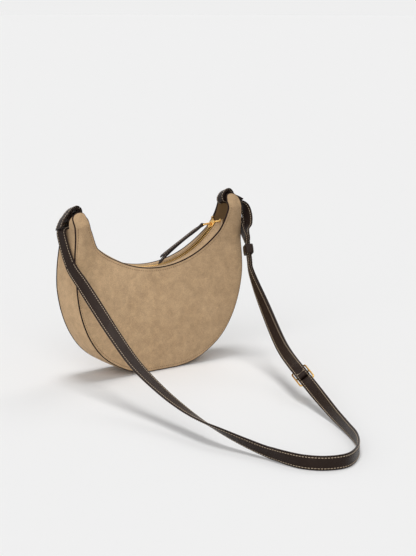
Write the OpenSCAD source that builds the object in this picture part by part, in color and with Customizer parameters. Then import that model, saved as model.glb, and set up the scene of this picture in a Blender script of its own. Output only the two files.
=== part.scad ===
// Half moon shoulder bag in suede with a curved metal zip and a leather strap.
// The bag stands on its base at z = 0, its front faces -Y, and X runs across its width.
// The strap lies on the ground in front of the bag, and its two ends hang from the horns.

/* [Bag body] */
// Width across the widest part of the bag
bag_w = 260; // [230:1:300]
// Height of the horn tips above the ground
bag_h = 222; // [214:1:236]
// Depth along the outer seam at the base
bag_d = 52; // [44:1:70]
// Depth between the two rims at the opening
mouth_d = 34; // [32:1:42]
// How far each panel swells at its middle
swell = 3; // [0:0.5:8]
// Thickness of the backed suede
suede_t = 2; // [1.2:0.1:2.4]
// Thickness of the painted edge trim
trim_t = 0.8; // [0.4:0.1:1.2]
// Thickness of the lining cloth
lining_t = 0.6; // [0.4:0.1:1]

/* [Saddle and zip] */
// Height of the lowest point of the rim
rim_low = 135; // [125:1:142]
// Radius of the arc that the rim and zip follow
rim_r = 140; // [134:1:150]
// Angle along the zip's arc from its middle to each end of the chain
zip_half_angle = 53.5; // [51:0.5:54.5]
// How far the tape lies below the rim
tape_drop = 2; // [1.8:0.1:3]
// Thickness of the zip tape
tape_t = 0.6; // [0.4:0.1:0.8]
// Distance from one tooth to the next
tooth_pitch = 2.5; // [2.2:0.1:3.2]
// Width of one tooth along the zip
tooth_w = 1.3; // [1:0.1:1.6]
// Height of one tooth across the tape
tooth_h = 2.4; // [2:0.1:2.6]
// Length of one tooth from its head to its heel
tooth_l = 3; // [2.6:0.1:3.4]
// Length of the slider along the zip
slider_l = 12; // [10:0.5:14]
// Width of the slider
slider_w = 9.4; // [9:0.1:11]
// Length of the metal link between slider and pull
link_l = 13; // [9:0.5:15]
// Width of the metal link
link_w = 7; // [6:0.5:9]
// Length of the leather pull
pull_l = 84; // [60:1:86]
// Width of the leather pull
pull_w = 6.5; // [5:0.5:8]
// Thickness of the folded leather pull
pull_t = 2.4; // [1.6:0.1:2.8]

/* [Strap] */
// Width of the strap
strap_w = 16; // [13:0.5:18]
// Thickness of the strap
strap_t = 2.2; // [1.6:0.1:2.4]
// How far the strap reaches in front of the bag
strap_reach = 445; // [380:5:520]
// How far below the horn tips the side band ends and the strap enters the horn
entry_drop = 21; // [18:0.5:25]
// Radius of the bar that each strap loop hangs on
bar_r = 2.2; // [1.5:0.1:2.6]
// Length of the leather keeper along the strap
keeper_l = 13; // [10:0.5:15]
// Thickness of the keeper leather
keeper_t = 1.6; // [1.2:0.1:2.2]

/* [Buckle] */
// Length of the buckle frame along the strap
buckle_l = 32; // [30:0.5:36]
// Thickness of the buckle wire
wire_t = 2.2; // [1.8:0.1:2.6]
// Radius of the buckle's centre bar
centre_bar_r = 1; // [0.8:0.1:1.2]

/* [Hidden] */
$fn = 48;

suede_c = "#b1966f";
edge_c = "#3a2a24";
lining_c = "#4c3b27";
tape_c = "#a58a5e";
brass_c = "#c9a24c";
leather_c = "#3b302c";

// clearances
fit = 0.15;
seam = 0.1;
over = 0.5;
body_gap = 0.3;
lining_gap = 0.5;

// shape of the half outline from the middle of the base to the outer shoulder of the horn
outline_shares = [[0, 0], [0.16, 0], [0.37, 0.02], [0.56, 0.07], [0.73, 0.145], [0.86, 0.25],
    [0.945, 0.37], [0.99, 0.495], [1, 0.62], [0.998, 0.74], [0.993, 0.86], [0.972, 0.95]];
// shape of the horn's inner edge, from the end of the rim arc to the outer shoulder
horn_shares = [[0.09, 0.14], [0.2, 0.33], [0.36, 0.55], [0.5, 0.77], [0.58, 1.02]];
tip_rise_share = 0.043;
steps = 3;
rows = 5;

half_w = bag_w / 2;
window_h = bag_h - entry_drop;
rim_cz = rim_low + rim_r;
rim_end_angle = 44;
rim_end = [rim_r * sin(rim_end_angle), rim_cz - rim_r * cos(rim_end_angle)];
shoulder = [outline_shares[11].x * half_w, outline_shares[11].y * bag_h];

function lerp(a, b, t) = a + (b - a) * t;
function ease(t) = t * t * (3 - 2 * t);
function clamp(t) = max(0, min(1, t));
function unit(v) = v / norm(v);
function place(p) = len(p) > 3 ? [p[0], p[1], p[2]] : p;
function knot(a, b) = max(sqrt(norm(place(b) - place(a))), 0.001);

// point at share u of the span p1 to p2 of a centripetal spline
function span_point(p0, p1, p2, p3, u) =
    let (t1 = knot(p0, p1), t2 = t1 + knot(p1, p2), t3 = t2 + knot(p2, p3), t = lerp(t1, t2, u),
         a1 = lerp(p0, p1, t / t1),
         a2 = lerp(p1, p2, (t - t1) / (t2 - t1)),
         a3 = lerp(p2, p3, (t - t2) / (t3 - t2)),
         b1 = lerp(a1, a2, t / t2),
         b2 = lerp(a2, a3, (t - t1) / (t3 - t1)))
    lerp(b1, b2, (t - t1) / (t2 - t1));

// smooth curve through all points, with n steps in each span
function spline(p, n) =
    let (m = len(p) - 1, before = 2 * p[0] - p[1], after = 2 * p[m] - p[m - 1])
    [for (i = [0 : m - 1], k = [0 : n - 1])
        span_point(i == 0 ? before : p[i - 1], p[i], p[i + 1], i == m - 1 ? after : p[i + 2], k / n),
     p[m]];

// half curves of one panel, point by point from the middle to the horn
outer_half = [for (p = spline([for (s = outline_shares) [s.x * half_w, s.y * bag_h]], steps))
    [p.x, max(0, p.y)]];
cols = len(outer_half) - 1;
horn_points = concat([rim_end], [for (s = horn_shares)
    [lerp(rim_end.x, shoulder.x, s.x), lerp(rim_end.y, shoulder.y, s.y)]]);
horn_half = spline(horn_points, steps);
rim_cols = cols - (len(horn_half) - 1);
inner_half = concat([for (k = [0 : rim_cols - 1])
    let (a = rim_end_angle * k / rim_cols) [rim_r * sin(a), rim_cz - rim_r * cos(a)]], horn_half);

// outward direction of the half outline at column k
function outer_dir(k) =
    let (a = k == 0 ? [-outer_half[1].x, outer_half[1].y] : outer_half[k - 1],
         b = outer_half[min(k + 1, cols)], d = unit(b - a)) [d.y, -d.x];
function inner_dir(k) =
    let (a = k == 0 ? [-inner_half[1].x, inner_half[1].y] : inner_half[k - 1],
         b = inner_half[min(k + 1, cols)], d = unit(b - a)) [-d.y, d.x];

// half depth of the bag along the outer seam at height z
function seam_y(z) = lerp(bag_d, mouth_d, ease(clamp((z / bag_h - 0.52) / 0.4))) / 2;

// point of a panel: c counts columns from the left horn, v runs from the rim to the outer seam,
// inset draws the edges in, and y counts from the middle plane to the panel's outer face
function panel_point(c, v, inset, depth) =
    let (i = c - cols, k = abs(i), side = i < 0 ? -1 : 1,
         q = inner_half[k] - inset * inner_dir(k), o = outer_half[k] - inset * outer_dir(k),
         p = lerp(q, o, v),
         rise = (k == cols) ? bag_h * tip_rise_share * sin(180 * v) : 0,
         crown = swell * sin(180 * v) * (1 - pow(k / cols, 3)),
         y = lerp(mouth_d / 2, seam_y(outer_half[k].y), ease(v)) + crown - depth)
    [side * p.x, -y, p.y + rise];

function panel_grid(inset, depth, trim_cols) =
    [for (v = [0 : rows]) [for (c = [trim_cols : 2 * cols - trim_cols])
        panel_point(c, v / rows, inset, depth)]];

// closed solid between two grids of points, the first one outermost
module sheet(a, b) {
    nr = len(a);
    nc = len(a[0]);
    pts = concat([for (r = a, p = r) p], [for (r = b, p = r) p]);
    off = nr * nc;
    function id(r, c) = r * nc + c;
    faces = concat(
        [for (r = [0 : nr - 2], c = [0 : nc - 2]) each
            [[id(r, c), id(r, c + 1), id(r + 1, c + 1)], [id(r, c), id(r + 1, c + 1), id(r + 1, c)],
             [off + id(r, c), off + id(r + 1, c + 1), off + id(r, c + 1)],
             [off + id(r, c), off + id(r + 1, c), off + id(r + 1, c + 1)]]],
        [for (c = [0 : nc - 2]) each
            [[id(0, c), off + id(0, c + 1), id(0, c + 1)], [id(0, c), off + id(0, c), off + id(0, c + 1)],
             [id(nr - 1, c), id(nr - 1, c + 1), off + id(nr - 1, c + 1)],
             [id(nr - 1, c), off + id(nr - 1, c + 1), off + id(nr - 1, c)]]],
        [for (r = [0 : nr - 2]) each
            [[id(r, 0), id(r + 1, 0), off + id(r + 1, 0)], [id(r, 0), off + id(r + 1, 0), off + id(r, 0)],
             [id(r, nc - 1), off + id(r + 1, nc - 1), id(r + 1, nc - 1)],
             [id(r, nc - 1), off + id(r, nc - 1), off + id(r + 1, nc - 1)]]]);
    polyhedron(pts, faces);
}

// closed solid through rings of points, each ring with the same count
module loft(rings, closed = false) {
    n = len(rings[0]);
    m = len(rings);
    sides = [for (i = [0 : closed ? m - 1 : m - 2], j = [0 : n - 1]) each
        let (a = i * n + j, b = i * n + (j + 1) % n,
             c = ((i + 1) % m) * n + j, d = ((i + 1) % m) * n + (j + 1) % n)
        [[a, b, d], [a, d, c]]];
    ends = closed ? [] : [[for (j = [n - 1 : -1 : 0]) j], [for (j = [0 : n - 1]) (m - 1) * n + j]];
    polyhedron([for (r = rings, p = r) p], concat(sides, ends));
}

module mirrored_back() mirror([0, 1, 0]) children();

module panel() {
    color(suede_c) sheet(panel_grid(trim_t, 0, 0), panel_grid(trim_t, suede_t, 0));
}

// painted edge all round the panel: outer seam, horn tips and rim
module edge_trim() {
    depth = suede_t;
    right_tip = [for (v = [rows : -1 : 0]) panel_point(2 * cols, v / rows, trim_t, 0)];
    left_tip = [for (v = [0 : rows]) panel_point(0, v / rows, trim_t, 0)];
    outer = [for (c = [1 : 2 * cols - 1]) panel_point(c, 1, trim_t, 0)];
    inner = [for (c = [2 * cols - 1 : -1 : 1]) panel_point(c, 0, trim_t, 0)];
    path = concat(left_tip, outer, right_tip, inner);
    m = len(path);
    rings = [for (i = [0 : m - 1])
        let (p = path[i], before = path[(i + m - 1) % m], after = path[(i + 1) % m],
             d = unit([after.x - before.x, after.z - before.z]), out = [d.y, -d.x],
             top = [p.x + out.x * trim_t, p.z + out.y * trim_t])
        [[p.x, p.y, p.z], [p.x, p.y + depth, p.z],
         [top.x, p.y + depth, max(0, top.y)], [top.x, p.y, max(0, top.y)]]];
    color(edge_c) loft(rings, true);
}

// outline of the side band from horn to horn, cut level at the window height
band_half = concat([for (p = outer_half) if (p.y < window_h) p],
    [let (k = [for (i = [0 : cols]) if (outer_half[i].y >= window_h) i][0],
          a = outer_half[k - 1], b = outer_half[k], t = (window_h - a.y) / (b.y - a.y)) lerp(a, b, t)]);
band_n = len(band_half) - 1;
band_rows = 4;

function band_dir(k) =
    let (a = k == 0 ? [-band_half[1].x, band_half[1].y] : band_half[k - 1],
         b = band_half[min(k + 1, band_n)], d = unit(b - a)) [d.y, -d.x];

// grid across the side band, inset below its outer face and held clear of the panels
function band_grid(inset, edge_gap, skip) =
    [for (j = [0 : band_rows]) [for (c = [skip : 2 * band_n - skip])
        let (i = c - band_n, k = abs(i), side = i < 0 ? -1 : 1,
             p = band_half[k] - inset * band_dir(k),
             y = seam_y(band_half[k].y) - suede_t - edge_gap)
        [side * p.x, lerp(-y, y, j / band_rows), p.y]]];

module gusset() {
    color(suede_c) sheet(band_grid(0, seam, 0), band_grid(suede_t, seam, 0));
}

module gusset_lining() {
    gap = suede_t + seam;
    edge = seam * 2 + lining_t;
    color(lining_c) sheet(band_grid(gap, edge, 1), band_grid(gap + lining_t, edge, 1));
}

// lining cloth behind a panel
module panel_lining() {
    inset = trim_t + suede_t + seam * 2 + lining_t;
    near = suede_t + lining_gap;
    skip = 2;
    color(lining_c) sheet(panel_grid(inset, near, skip), panel_grid(inset, near + lining_t, skip));
}

// stiff board lying on the lining at the base
module base_board() {
    board_t = 1.6;
    board_w = bag_w * 0.28;
    board_d = bag_d - 2 * (suede_t + lining_t + lining_gap + 2 * seam) - board_t;
    lift = bag_h * 0.011;
    z0 = suede_t + lining_t + seam + fit + lift;
    color(lining_c) translate([-board_w / 2, -board_d / 2, z0]) cube([board_w, board_d, board_t]);
}

// slip pocket sewn to the back lining
pocket_w = bag_w * 0.46;
pocket_top = rim_low * 0.78;
pocket_low = rim_low * 0.3;
module slip_pocket() {
    wall = lining_t + suede_t + lining_gap;
    pocket_steps = 8;
    grid_at = function (extra) [for (j = [0 : pocket_steps]) [for (i = [0 : pocket_steps])
        let (z = lerp(pocket_top, pocket_low, j / pocket_steps),
             x = lerp(-pocket_w / 2, pocket_w / 2, i / pocket_steps),
             v = clamp((rim_low - z) / rim_low),
             edge = sin(180 * i / pocket_steps) * (1 - j / pocket_steps),
             y = lerp(mouth_d / 2, bag_d / 2, ease(v)) + swell * sin(180 * v) * 0.9
                 - wall - seam * 4 - lining_t * edge - extra)
        [x, -y, z]]];
    color(lining_c) sheet(grid_at(0), grid_at(lining_t));
}

// the zip lies on its own arc, a little tighter than the rim's, so that its ends rise above the rim
zip_r = rim_r * 0.9;
zip_low = rim_low - tape_drop;
zip_cz = zip_low + zip_r;
zip_end = zip_half_angle + 4.2;
facing_t = 1.2;
mouth_in = mouth_d / 2 - suede_t - seam;
facing_edge = slider_w / 2 + tooth_l * 0.5;

// children stand on the zip's arc at the given angle, +Z towards its centre
module on_arc(angle) translate([0, 0, zip_cz]) rotate([0, -angle, 0]) translate([0, 0, -zip_r]) children();

function rim_z(x) = rim_cz - sqrt(rim_r * rim_r - x * x);

// point of the cloth across the mouth: lift is its height over the tape, and the cloth is level
// out to level_y and slopes from there to the rim
function zip_spot(angle, y, lift, level_y = facing_edge) =
    let (x = (zip_r - lift) * sin(angle), z = zip_cz - (zip_r - lift) * cos(angle),
         s = clamp((y - level_y) / (mouth_in - level_y)))
    [x, -y, lerp(z, rim_z(x) - tape_drop + lift, s)];

// suede strip between the rim and the zip tape, along the front
module facing() {
    n = 36;
    angles = [for (i = [0 : n]) lerp(-zip_half_angle, zip_half_angle, i / n)];
    low = tape_t / 2 + body_gap;
    function layer(lift) = [for (y = [facing_edge, mouth_in]) [for (a = angles) zip_spot(a, y, lift)]];
    color(suede_c) sheet(layer(low + facing_t), layer(low));
}

// distance of a zip row from the middle plane, which grows past the slider
row_spread = mouth_in - tooth_l - tape_t;
function row_y(angle) = row_spread * ease(clamp((angle - zip_half_angle) / (zip_end - zip_half_angle)));
pitch_angle = tooth_pitch / zip_r * 180 / PI;
function row_slope(angle) =
    (row_y(angle + pitch_angle / 2) - row_y(angle - pitch_angle / 2)) / tooth_pitch;
post_t = 0.9;
head_y = post_t / 2 + fit;
heel_y = head_y + tooth_l;

module zip_tape() {
    n = 36;
    spread_n = 12;
    edge = head_y + tooth_l * 0.6;
    outer_y = facing_edge + mouth_in * 0.2;
    angles = concat([for (i = [0 : n - 1]) lerp(-zip_half_angle, zip_half_angle, i / n)],
        [for (i = [0 : spread_n]) lerp(zip_half_angle, zip_end, i / spread_n)]);
    // the tape keeps its distance from the row measured square to it
    function along_row(a, y) = row_y(a) + y * sqrt(1 + pow(row_slope(a), 2));
    function edge_y(a) = min(mouth_in - 3 * tape_t, along_row(a, edge));
    function level_y(a) = min(mouth_in - tape_t, max(facing_edge, along_row(a, heel_y) + tooth_w));
    function side_y(a) = max(outer_y, min(mouth_in - seam, level_y(a) + tape_t));
    function layer(lift) = [[for (a = angles) zip_spot(a, edge_y(a), lift, level_y(a))],
        [for (a = angles) zip_spot(a, level_y(a), lift, level_y(a))],
        [for (a = angles) zip_spot(a, side_y(a), lift, level_y(a))]];
    color(tape_c) sheet(layer(tape_t / 2), layer(-tape_t / 2));
}

// one tooth: a rounded head on the inner side and two legs that clamp the tape
module tooth() {
    slot = tape_t / 2 + seam;
    waist = head_y + tooth_l * 0.4;
    nose = tooth_h * 0.3;
    rotate([0, -90, 0]) linear_extrude(height = tooth_w, center = true)
        polygon([[-nose, -head_y], [nose, -head_y], [tooth_h / 2, -head_y - nose], [tooth_h / 2, -heel_y],
            [slot, -heel_y], [slot, -waist], [-slot, -waist], [-slot, -heel_y],
            [-tooth_h / 2, -heel_y], [-tooth_h / 2, -head_y - nose]]);
}

// offset shifts the back row by half a pitch, so that the rows stand in each other's gaps
module teeth(offset) {
    n = floor((zip_end + zip_half_angle) / pitch_angle - 1);
    color(brass_c) for (i = [1 : n]) {
        a = -zip_half_angle + (i + offset) * pitch_angle;
        turn = atan(row_slope(a));
        on_arc(a) translate([0, -row_y(a), 0]) rotate([0, 0, -turn]) tooth();
    }
}

// bridge stop at the open end, and one crimped stop at the end of each spread row
module zip_stops() {
    stop_l = tooth_pitch * 1.4;
    color(brass_c) {
        on_arc(-zip_half_angle + pitch_angle * 0.1)
            translate([-stop_l / 2 - tooth_w, -heel_y, tape_t / 2 + seam])
                cube([stop_l, 2 * heel_y, tooth_h / 2 - tape_t / 2]);
        for (s = [-1, 1]) on_arc(zip_end - pitch_angle * 0.2)
            translate([-tooth_w, s * (row_y(zip_end) + head_y + tooth_l * 0.7) - tooth_l / 2,
                tape_t / 2 + seam]) cube([tooth_pitch, tooth_l, tooth_h / 2]);
    }
}

// cloth that closes the bag between the end of the zip and the side band
module horn_web(side) {
    band_x = band_half[band_n].x - suede_t - lining_t - seam * 3;
    past = zip_end + 1.3;
    low = [zip_r * sin(past), zip_cz - zip_r * cos(past)];
    high = [band_x, window_h - strap_t - body_gap * 2];
    d = unit(high - low);
    up = [-d.y, d.x] * lining_t;
    half = mouth_in - lining_t - lining_gap;
    color(lining_c) mirror([side < 0 ? 1 : 0, 0, 0]) translate([0, half, 0]) rotate([90, 0, 0])
        linear_extrude(height = 2 * half) polygon([low, high, high + up, low + up]);
}

// strap geometry at the horns
loop_out = half_w - strap_t * 0.35;
ply_z = window_h + body_gap + strap_t / 2;
loop_h = bag_h + strap_t - ply_z;
loop_w = loop_h * 0.86;
split_x = loop_out + body_gap;
loop_shares = [[0, 0.7], [0.25, 0.9], [0.48, 1], [0.72, 0.93], [0.92, 0.7], [1, 0.42],
    [0.9, 0.15], [0.66, 0.02], [0.35, 0], [0, 0]];
bar_share = [0.46, 0.62];

// flat strip of the strap's thickness along a centre line in the XZ plane
function strip(path) =
    let (m = len(path) - 1,
         dirs = [for (i = [0 : m]) unit(path[min(i + 1, m)] - path[max(i - 1, 0)])],
         side = [for (d = dirs) [-d.y, d.x] * strap_t / 2])
    concat([for (i = [0 : m]) path[i] + side[i]], [for (i = [m : -1 : 0]) path[i] - side[i]]);

// the strip is cut upright at low_x and high_x, so that the strap can turn beside the loop
module strap_profile(path, low_x, high_x) translate([0, strap_w / 2, 0]) rotate([90, 0, 0])
    linear_extrude(height = strap_w) intersection() {
        polygon(strip(path));
        translate([low_x, 0]) square([high_x - low_x, 2 * bag_h]);
    }

// loop of strap round the bar inside a horn
module strap_loop(side) {
    path = spline([for (s = loop_shares) [loop_out - s.x * loop_w, ply_z + s.y * loop_h]], 4);
    color(leather_c) mirror([side < 0 ? 1 : 0, 0, 0]) strap_profile(path, 0, loop_out);
}

module strap_bar(side) {
    half = mouth_in;
    x = loop_out - bar_share.x * loop_w;
    z = ply_z + bar_share.y * loop_h;
    color("#8a8578") translate([side * x, half, z]) rotate([90, 0, 0]) cylinder(r = bar_r, h = 2 * half);
}

// end of the strap, folded over the horn and sewn down: reach is how far it stands out
module sewn_end(side, reach, end_shares) {
    path = spline([for (s = end_shares)
        [split_x + body_gap + s.x * reach, ply_z + s.y * loop_h]], 4);
    color(leather_c) mirror([side < 0 ? 1 : 0, 0, 0]) strap_profile(path, split_x, bag_w);
}
bend_r = strap_t * 2.3;
left_end_reach = bend_r * 1.2 + strap_t + body_gap;
right_end_reach = loop_h * 0.69;
left_end_shares = [[0, 0.7], [0.45, 0.47], [0.86, 0.12], [1, -0.2]];
right_end_shares = [[0, 0.7], [0.5, 0.53], [1, 0.35]];

// strap route: each entry is [x, y, z, heading of the outer face, lift of the outer face]
// x counts in half widths of the bag, y in strap reaches to the front, z in window heights
function spot(xs, ys, zs, heading, lift) = [xs * half_w, -ys * strap_reach, zs * window_h, heading, lift];
function ground(xs, ys, heading, lift = 0) = [xs * half_w, -ys * strap_reach, strap_w / 2, heading, lift];
function face_dir(p) = [cos(p[3]) * cos(p[4]), sin(p[3]) * cos(p[4]), sin(p[4])];
function moved(p, d) = [p.x + d.x, p.y + d.y, p.z + d.z, p[3], p[4]];
function shifted(p, d) = moved(p, face_dir(p) * d);

// the strap leaves the left horn, hangs along the side band and turns over before it meets the ground
left_run = [
    [-split_x, 0, ply_z, 180, -90],
    [-split_x - bend_r * 0.75, 0, ply_z - bend_r * 0.22, 180, -120],
    [-split_x - bend_r * 1.2, 0, ply_z - bend_r, 180, -165],
    [-split_x - bend_r * 1.2, -bend_r * 0.5, ply_z - bend_r * 2.8, 180, -180],
    spot(-1.034, 0.04, 0.77, 180, -168),
    spot(-1.03, 0.097, 0.67, 180, -148),
    spot(-1.026, 0.16, 0.563, 180, -127),
    spot(-1.023, 0.25, 0.423, 180, -108),
    spot(-1.017, 0.35, 0.287, 180, -99),
    spot(-1.01, 0.46, 0.193, 180, -88),
    spot(-1.006, 0.565, 0.134, 182, -78),
    spot(-1.002, 0.65, 0.105, 185, -62),
    spot(-0.972, 0.715, 0.085, 190, -42),
    spot(-0.918, 0.775, 0.06, 195, -29),
    ground(-0.86, 0.85, 195, -18),
    ground(-0.83, 0.905, 197, -8),
    ground(-0.78, 0.948, 213),
    ground(-0.66, 0.985, 238),
    ground(-0.477, 1, 270),
    ground(-0.27, 0.97, 306),
    ground(-0.077, 0.91, 323)];

// place and direction of the buckle and the keeper on the strap
buckle_at = spot(0.446, 0.53, 0.15, 356, -50);
buckle_dir = unit([0.311, 0.926, 0.212]);
keeper_at = spot(0.965, 0.0966, 0.746, 332, 0);
keeper_dir = unit([0.129, 0.364, 0.922]);
pair_gap = body_gap * 1.4;
ply = (strap_t + pair_gap) / 2;

rise_run = [ground(0.062, 0.836, 337), spot(0.185, 0.748, 0.055, 342, -12), spot(0.3, 0.655, 0.09, 348, -32)];
pair_run = [spot(0.66, 0.365, 0.235, 353, -42), spot(0.815, 0.24, 0.395, 350, -26)];
keeper_run = [for (s = [-2.2, -1.2, -0.2, 0.7, 1]) moved(keeper_at, keeper_dir * s * keeper_l)];

// square frame of direction, width and face at a point of the strap
function face_at(p, d) = unit(face_dir(p) - (face_dir(p) * d) * d);
buckle_face = face_at(buckle_at, buckle_dir);
buckle_side = cross(buckle_face, buckle_dir);
keeper_face = face_at(keeper_at, keeper_dir);
keeper_side = cross(keeper_face, keeper_dir);
function by_buckle(along, out) = moved(buckle_at, buckle_dir * along + buckle_face * out);

bar_at = buckle_l / 2 - wire_t / 2;
under = centre_bar_r + fit + strap_t + fit + strap_t / 2;
beside = wire_t / 2 + body_gap * 2 + strap_t / 2;
fold_r = centre_bar_r + fit + strap_t / 2;
through_buckle = [by_buckle(-bar_at * 1.7, 0), by_buckle(-bar_at, -beside),
    by_buckle(-bar_at * 0.5, under * 0.22), by_buckle(0, under),
    by_buckle(bar_at * 0.5, under * 0.22), by_buckle(bar_at, -beside),
    by_buckle(bar_at * 1.8, 0)];
tail_run = [for (p = concat(pair_run, keeper_run)) shifted(p, ply)];
tail_end = [
    spot(1.045, 0.055, 0.85, 338, 0),
    spot(1.095, 0.042, 0.895, 344, 0),
    spot(1.127, 0.028, 0.945, 352, 4),
    spot(1.132, 0.014, 0.995, 356, 14),
    [split_x + right_end_reach * 0.95, 0, ply_z + loop_h * 0.16, 360, 42],
    [split_x + right_end_reach * 0.62, 0, ply_z + loop_h * 0.33, 360, 62],
    [split_x + right_end_reach * 0.25, 0, ply_z + loop_h * 0.47, 360, 63]];
long_route = concat(left_run, rise_run, through_buckle, tail_run, tail_end);

short_start = [
    [split_x, 0, ply_z, 360, 90],
    [split_x + bend_r * 0.75, 0, ply_z - bend_r * 0.22, 360, 60],
    [split_x + bend_r * 1.2, 0, ply_z - bend_r, 356, 15],
    spot(1.042, 0.018, 0.925, 352, 0),
    spot(1.01, 0.058, 0.836, 340, 0)];
short_pair = [for (i = [4 : -1 : 0]) shifted(keeper_run[i], -ply)];
short_low = [for (i = [1 : -1 : 0]) shifted(pair_run[i], -ply)];
upper_side = -beside - strap_t - pair_gap;
short_fold = concat([by_buckle(bar_at * 1.8, upper_side * 0.62), by_buckle(bar_at, upper_side),
    by_buckle(bar_at * 0.45, upper_side * 0.72)],
    [for (a = [0 : 30 : 180]) by_buckle(-fold_r * sin(a), -fold_r * cos(a))]);
short_route = concat(short_start, short_pair, short_low, short_fold);

// square-edged leather ribbon along a route
module ribbon(route, n, fold_points = 0) {
    smooth_path = spline(route, n);
    m = len(smooth_path) - 1;
    rings = [for (i = [0 : m])
        let (s = smooth_path[i],
             d = unit(place(smooth_path[min(i + 1, m)]) - place(smooth_path[max(i - 1, 0)])),
             folded = i > m - fold_points,
             f = folded ? unit(cross(d, buckle_side)) : face_at(s, d),
             w = cross(f, d) * strap_w / 2, t = f * strap_t / 2,
             p = [s.x, s.y, max(s.z, abs(w.z) + abs(t.z))])
        [p + w + t, p + w - t, p - w - t, p - w + t]];
    color(leather_c) loft(rings);
}

module long_strap() ribbon(long_route, 3);
module short_strap() ribbon(short_route, 3, 3 * 6 + 1);

// axes of a strap fitting: local X along the strap, local Y across it, local Z out of its face
module on_strap(at, dir, side, face)
    multmatrix([[dir.x, side.x, face.x, at.x], [dir.y, side.y, face.y, at.y],
        [dir.z, side.z, face.z, at.z], [0, 0, 0, 1]]) children();

module rounded_slab(l, w, r, t) linear_extrude(height = t, center = true) union() {
    square([l - 2 * r, w], center = true);
    square([l, w - 2 * r], center = true);
    for (x = [-1, 1], y = [-1, 1]) translate([x * (l / 2 - r), y * (w / 2 - r)]) circle(r = r);
}

module buckle_frame() {
    inner_w = strap_w + 4 * fit;
    corner = wire_t * 1.2;
    color(brass_c) on_strap(buckle_at, buckle_dir, buckle_side, buckle_face) {
        difference() {
            rounded_slab(buckle_l, inner_w + 2 * wire_t, corner, wire_t);
            rounded_slab(buckle_l - 2 * wire_t, inner_w, corner / 2, wire_t + over);
        }
        rotate([90, 0, 0]) cylinder(r = centre_bar_r, h = inner_w + seam, center = true);
    }
}

// leather band round both plies of the strap
module keeper() {
    hole_w = strap_w + 2 * body_gap;
    hole_t = 2 * strap_t + pair_gap + 2 * body_gap;
    corner = keeper_t;
    color(leather_c) on_strap(keeper_at, keeper_dir, keeper_side, keeper_face)
        rotate([0, 90, 0]) difference() {
            rounded_slab(hole_t + 2 * keeper_t, hole_w + 2 * keeper_t, corner, keeper_l);
            cube([hole_t, hole_w, keeper_l + over], center = true);
        }
}

// zip slider at rest: local X runs along the zip, local Z towards the arc's centre
slider_angle = zip_half_angle - slider_l / zip_r * 90 / PI - 0.3;
plate_t = 1.3;
channel_h = tooth_h / 2 + body_gap;
wing_t = 0.7;
link_wire_r = 0.8;
crown_hole = link_wire_r + body_gap;
crown_t = 1;
crown_w = 2.6;
crown_z = channel_h + plate_t + crown_hole;

module slider_plate(low) {
    nose = slider_w * 0.5;
    translate([0, 0, low]) linear_extrude(height = plate_t) union() {
        translate([-slider_l / 2 + nose / 2, 0]) circle(d = nose + slider_w * 0.25);
        translate([-slider_l / 2 + nose / 2, -slider_w / 2])
            square([slider_l - nose / 2, slider_w]);
    }
}

module slider_solid() {
    flange = channel_h - tape_t / 2 - body_gap;
    slider_plate(channel_h);
    slider_plate(-channel_h - plate_t);
    for (s = [-1, 1]) {
        translate([-slider_l / 4, s * (slider_w / 2 - wing_t / 2) - wing_t / 2, channel_h - flange])
            cube([slider_l * 0.75, wing_t, flange + seam]);
        translate([-slider_l / 4, s * (slider_w / 2 - wing_t / 2) - wing_t / 2, -channel_h - seam])
            cube([slider_l * 0.75, wing_t, flange + seam]);
    }
    translate([slider_l * 0.18, -post_t / 2, -channel_h - seam])
        cube([slider_l * 0.3, post_t, 2 * channel_h + 2 * seam]);
    translate([0, 0, crown_z]) rotate([90, 0, 0]) difference() {
        union() {
            cylinder(r = crown_hole + crown_t, h = crown_w, center = true);
            translate([-crown_hole - crown_t, -crown_hole - seam, -crown_w / 2])
                cube([2 * (crown_hole + crown_t), crown_hole, crown_w]);
        }
        cylinder(r = crown_hole, h = crown_w + over, center = true);
    }
}
module zip_slider() color(brass_c) on_arc(slider_angle) slider_solid();

// pivots of the link and of the pull, in the XZ plane
crown_r = zip_r - crown_z;
link_pivot = [crown_r * sin(slider_angle), zip_cz - crown_r * cos(slider_angle)];
link_drop_angle = 3;
pull_pivot = link_pivot - link_l * [cos(link_drop_angle), sin(link_drop_angle)];
// the longer tail of the pull rests just above the teeth
rest_r = zip_r - tooth_h / 2 - body_gap;
ply_t = pull_t / 2;
to_centre = [0, zip_cz] - pull_pivot;
reach_r = norm([pull_l, ply_t]);
lie_angle = acos((pow(norm(to_centre), 2) + pow(reach_r, 2) - pow(rest_r, 2))
    / (2 * norm(to_centre) * reach_r));
pull_angle = atan2(to_centre.y, to_centre.x) + lie_angle - atan(ply_t / pull_l);

module at_pivot(p, angle) translate([p.x, 0, p.y]) rotate([0, -angle, 0]) children();

// closed link between the slider's crown and the leather pull: two cheeks and two round bars
module puller_link() {
    cheek_t = link_wire_r * 1.4;
    cheek_r = link_wire_r * 1.2;
    color(brass_c) at_pivot(link_pivot, 180 + link_drop_angle) rotate([90, 0, 0]) {
        for (x = [0, link_l]) translate([x, 0, 0])
            cylinder(r = link_wire_r, h = link_w - cheek_t, center = true);
        for (s = [-1, 1]) translate([0, 0, s * (link_w - cheek_t) / 2 - cheek_t / 2])
            linear_extrude(height = cheek_t) union() {
                for (x = [0, link_l]) translate([x, 0]) circle(r = cheek_r);
                translate([0, -cheek_r * 0.8]) square([link_l, cheek_r * 1.6]);
            }
    }
}

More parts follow.
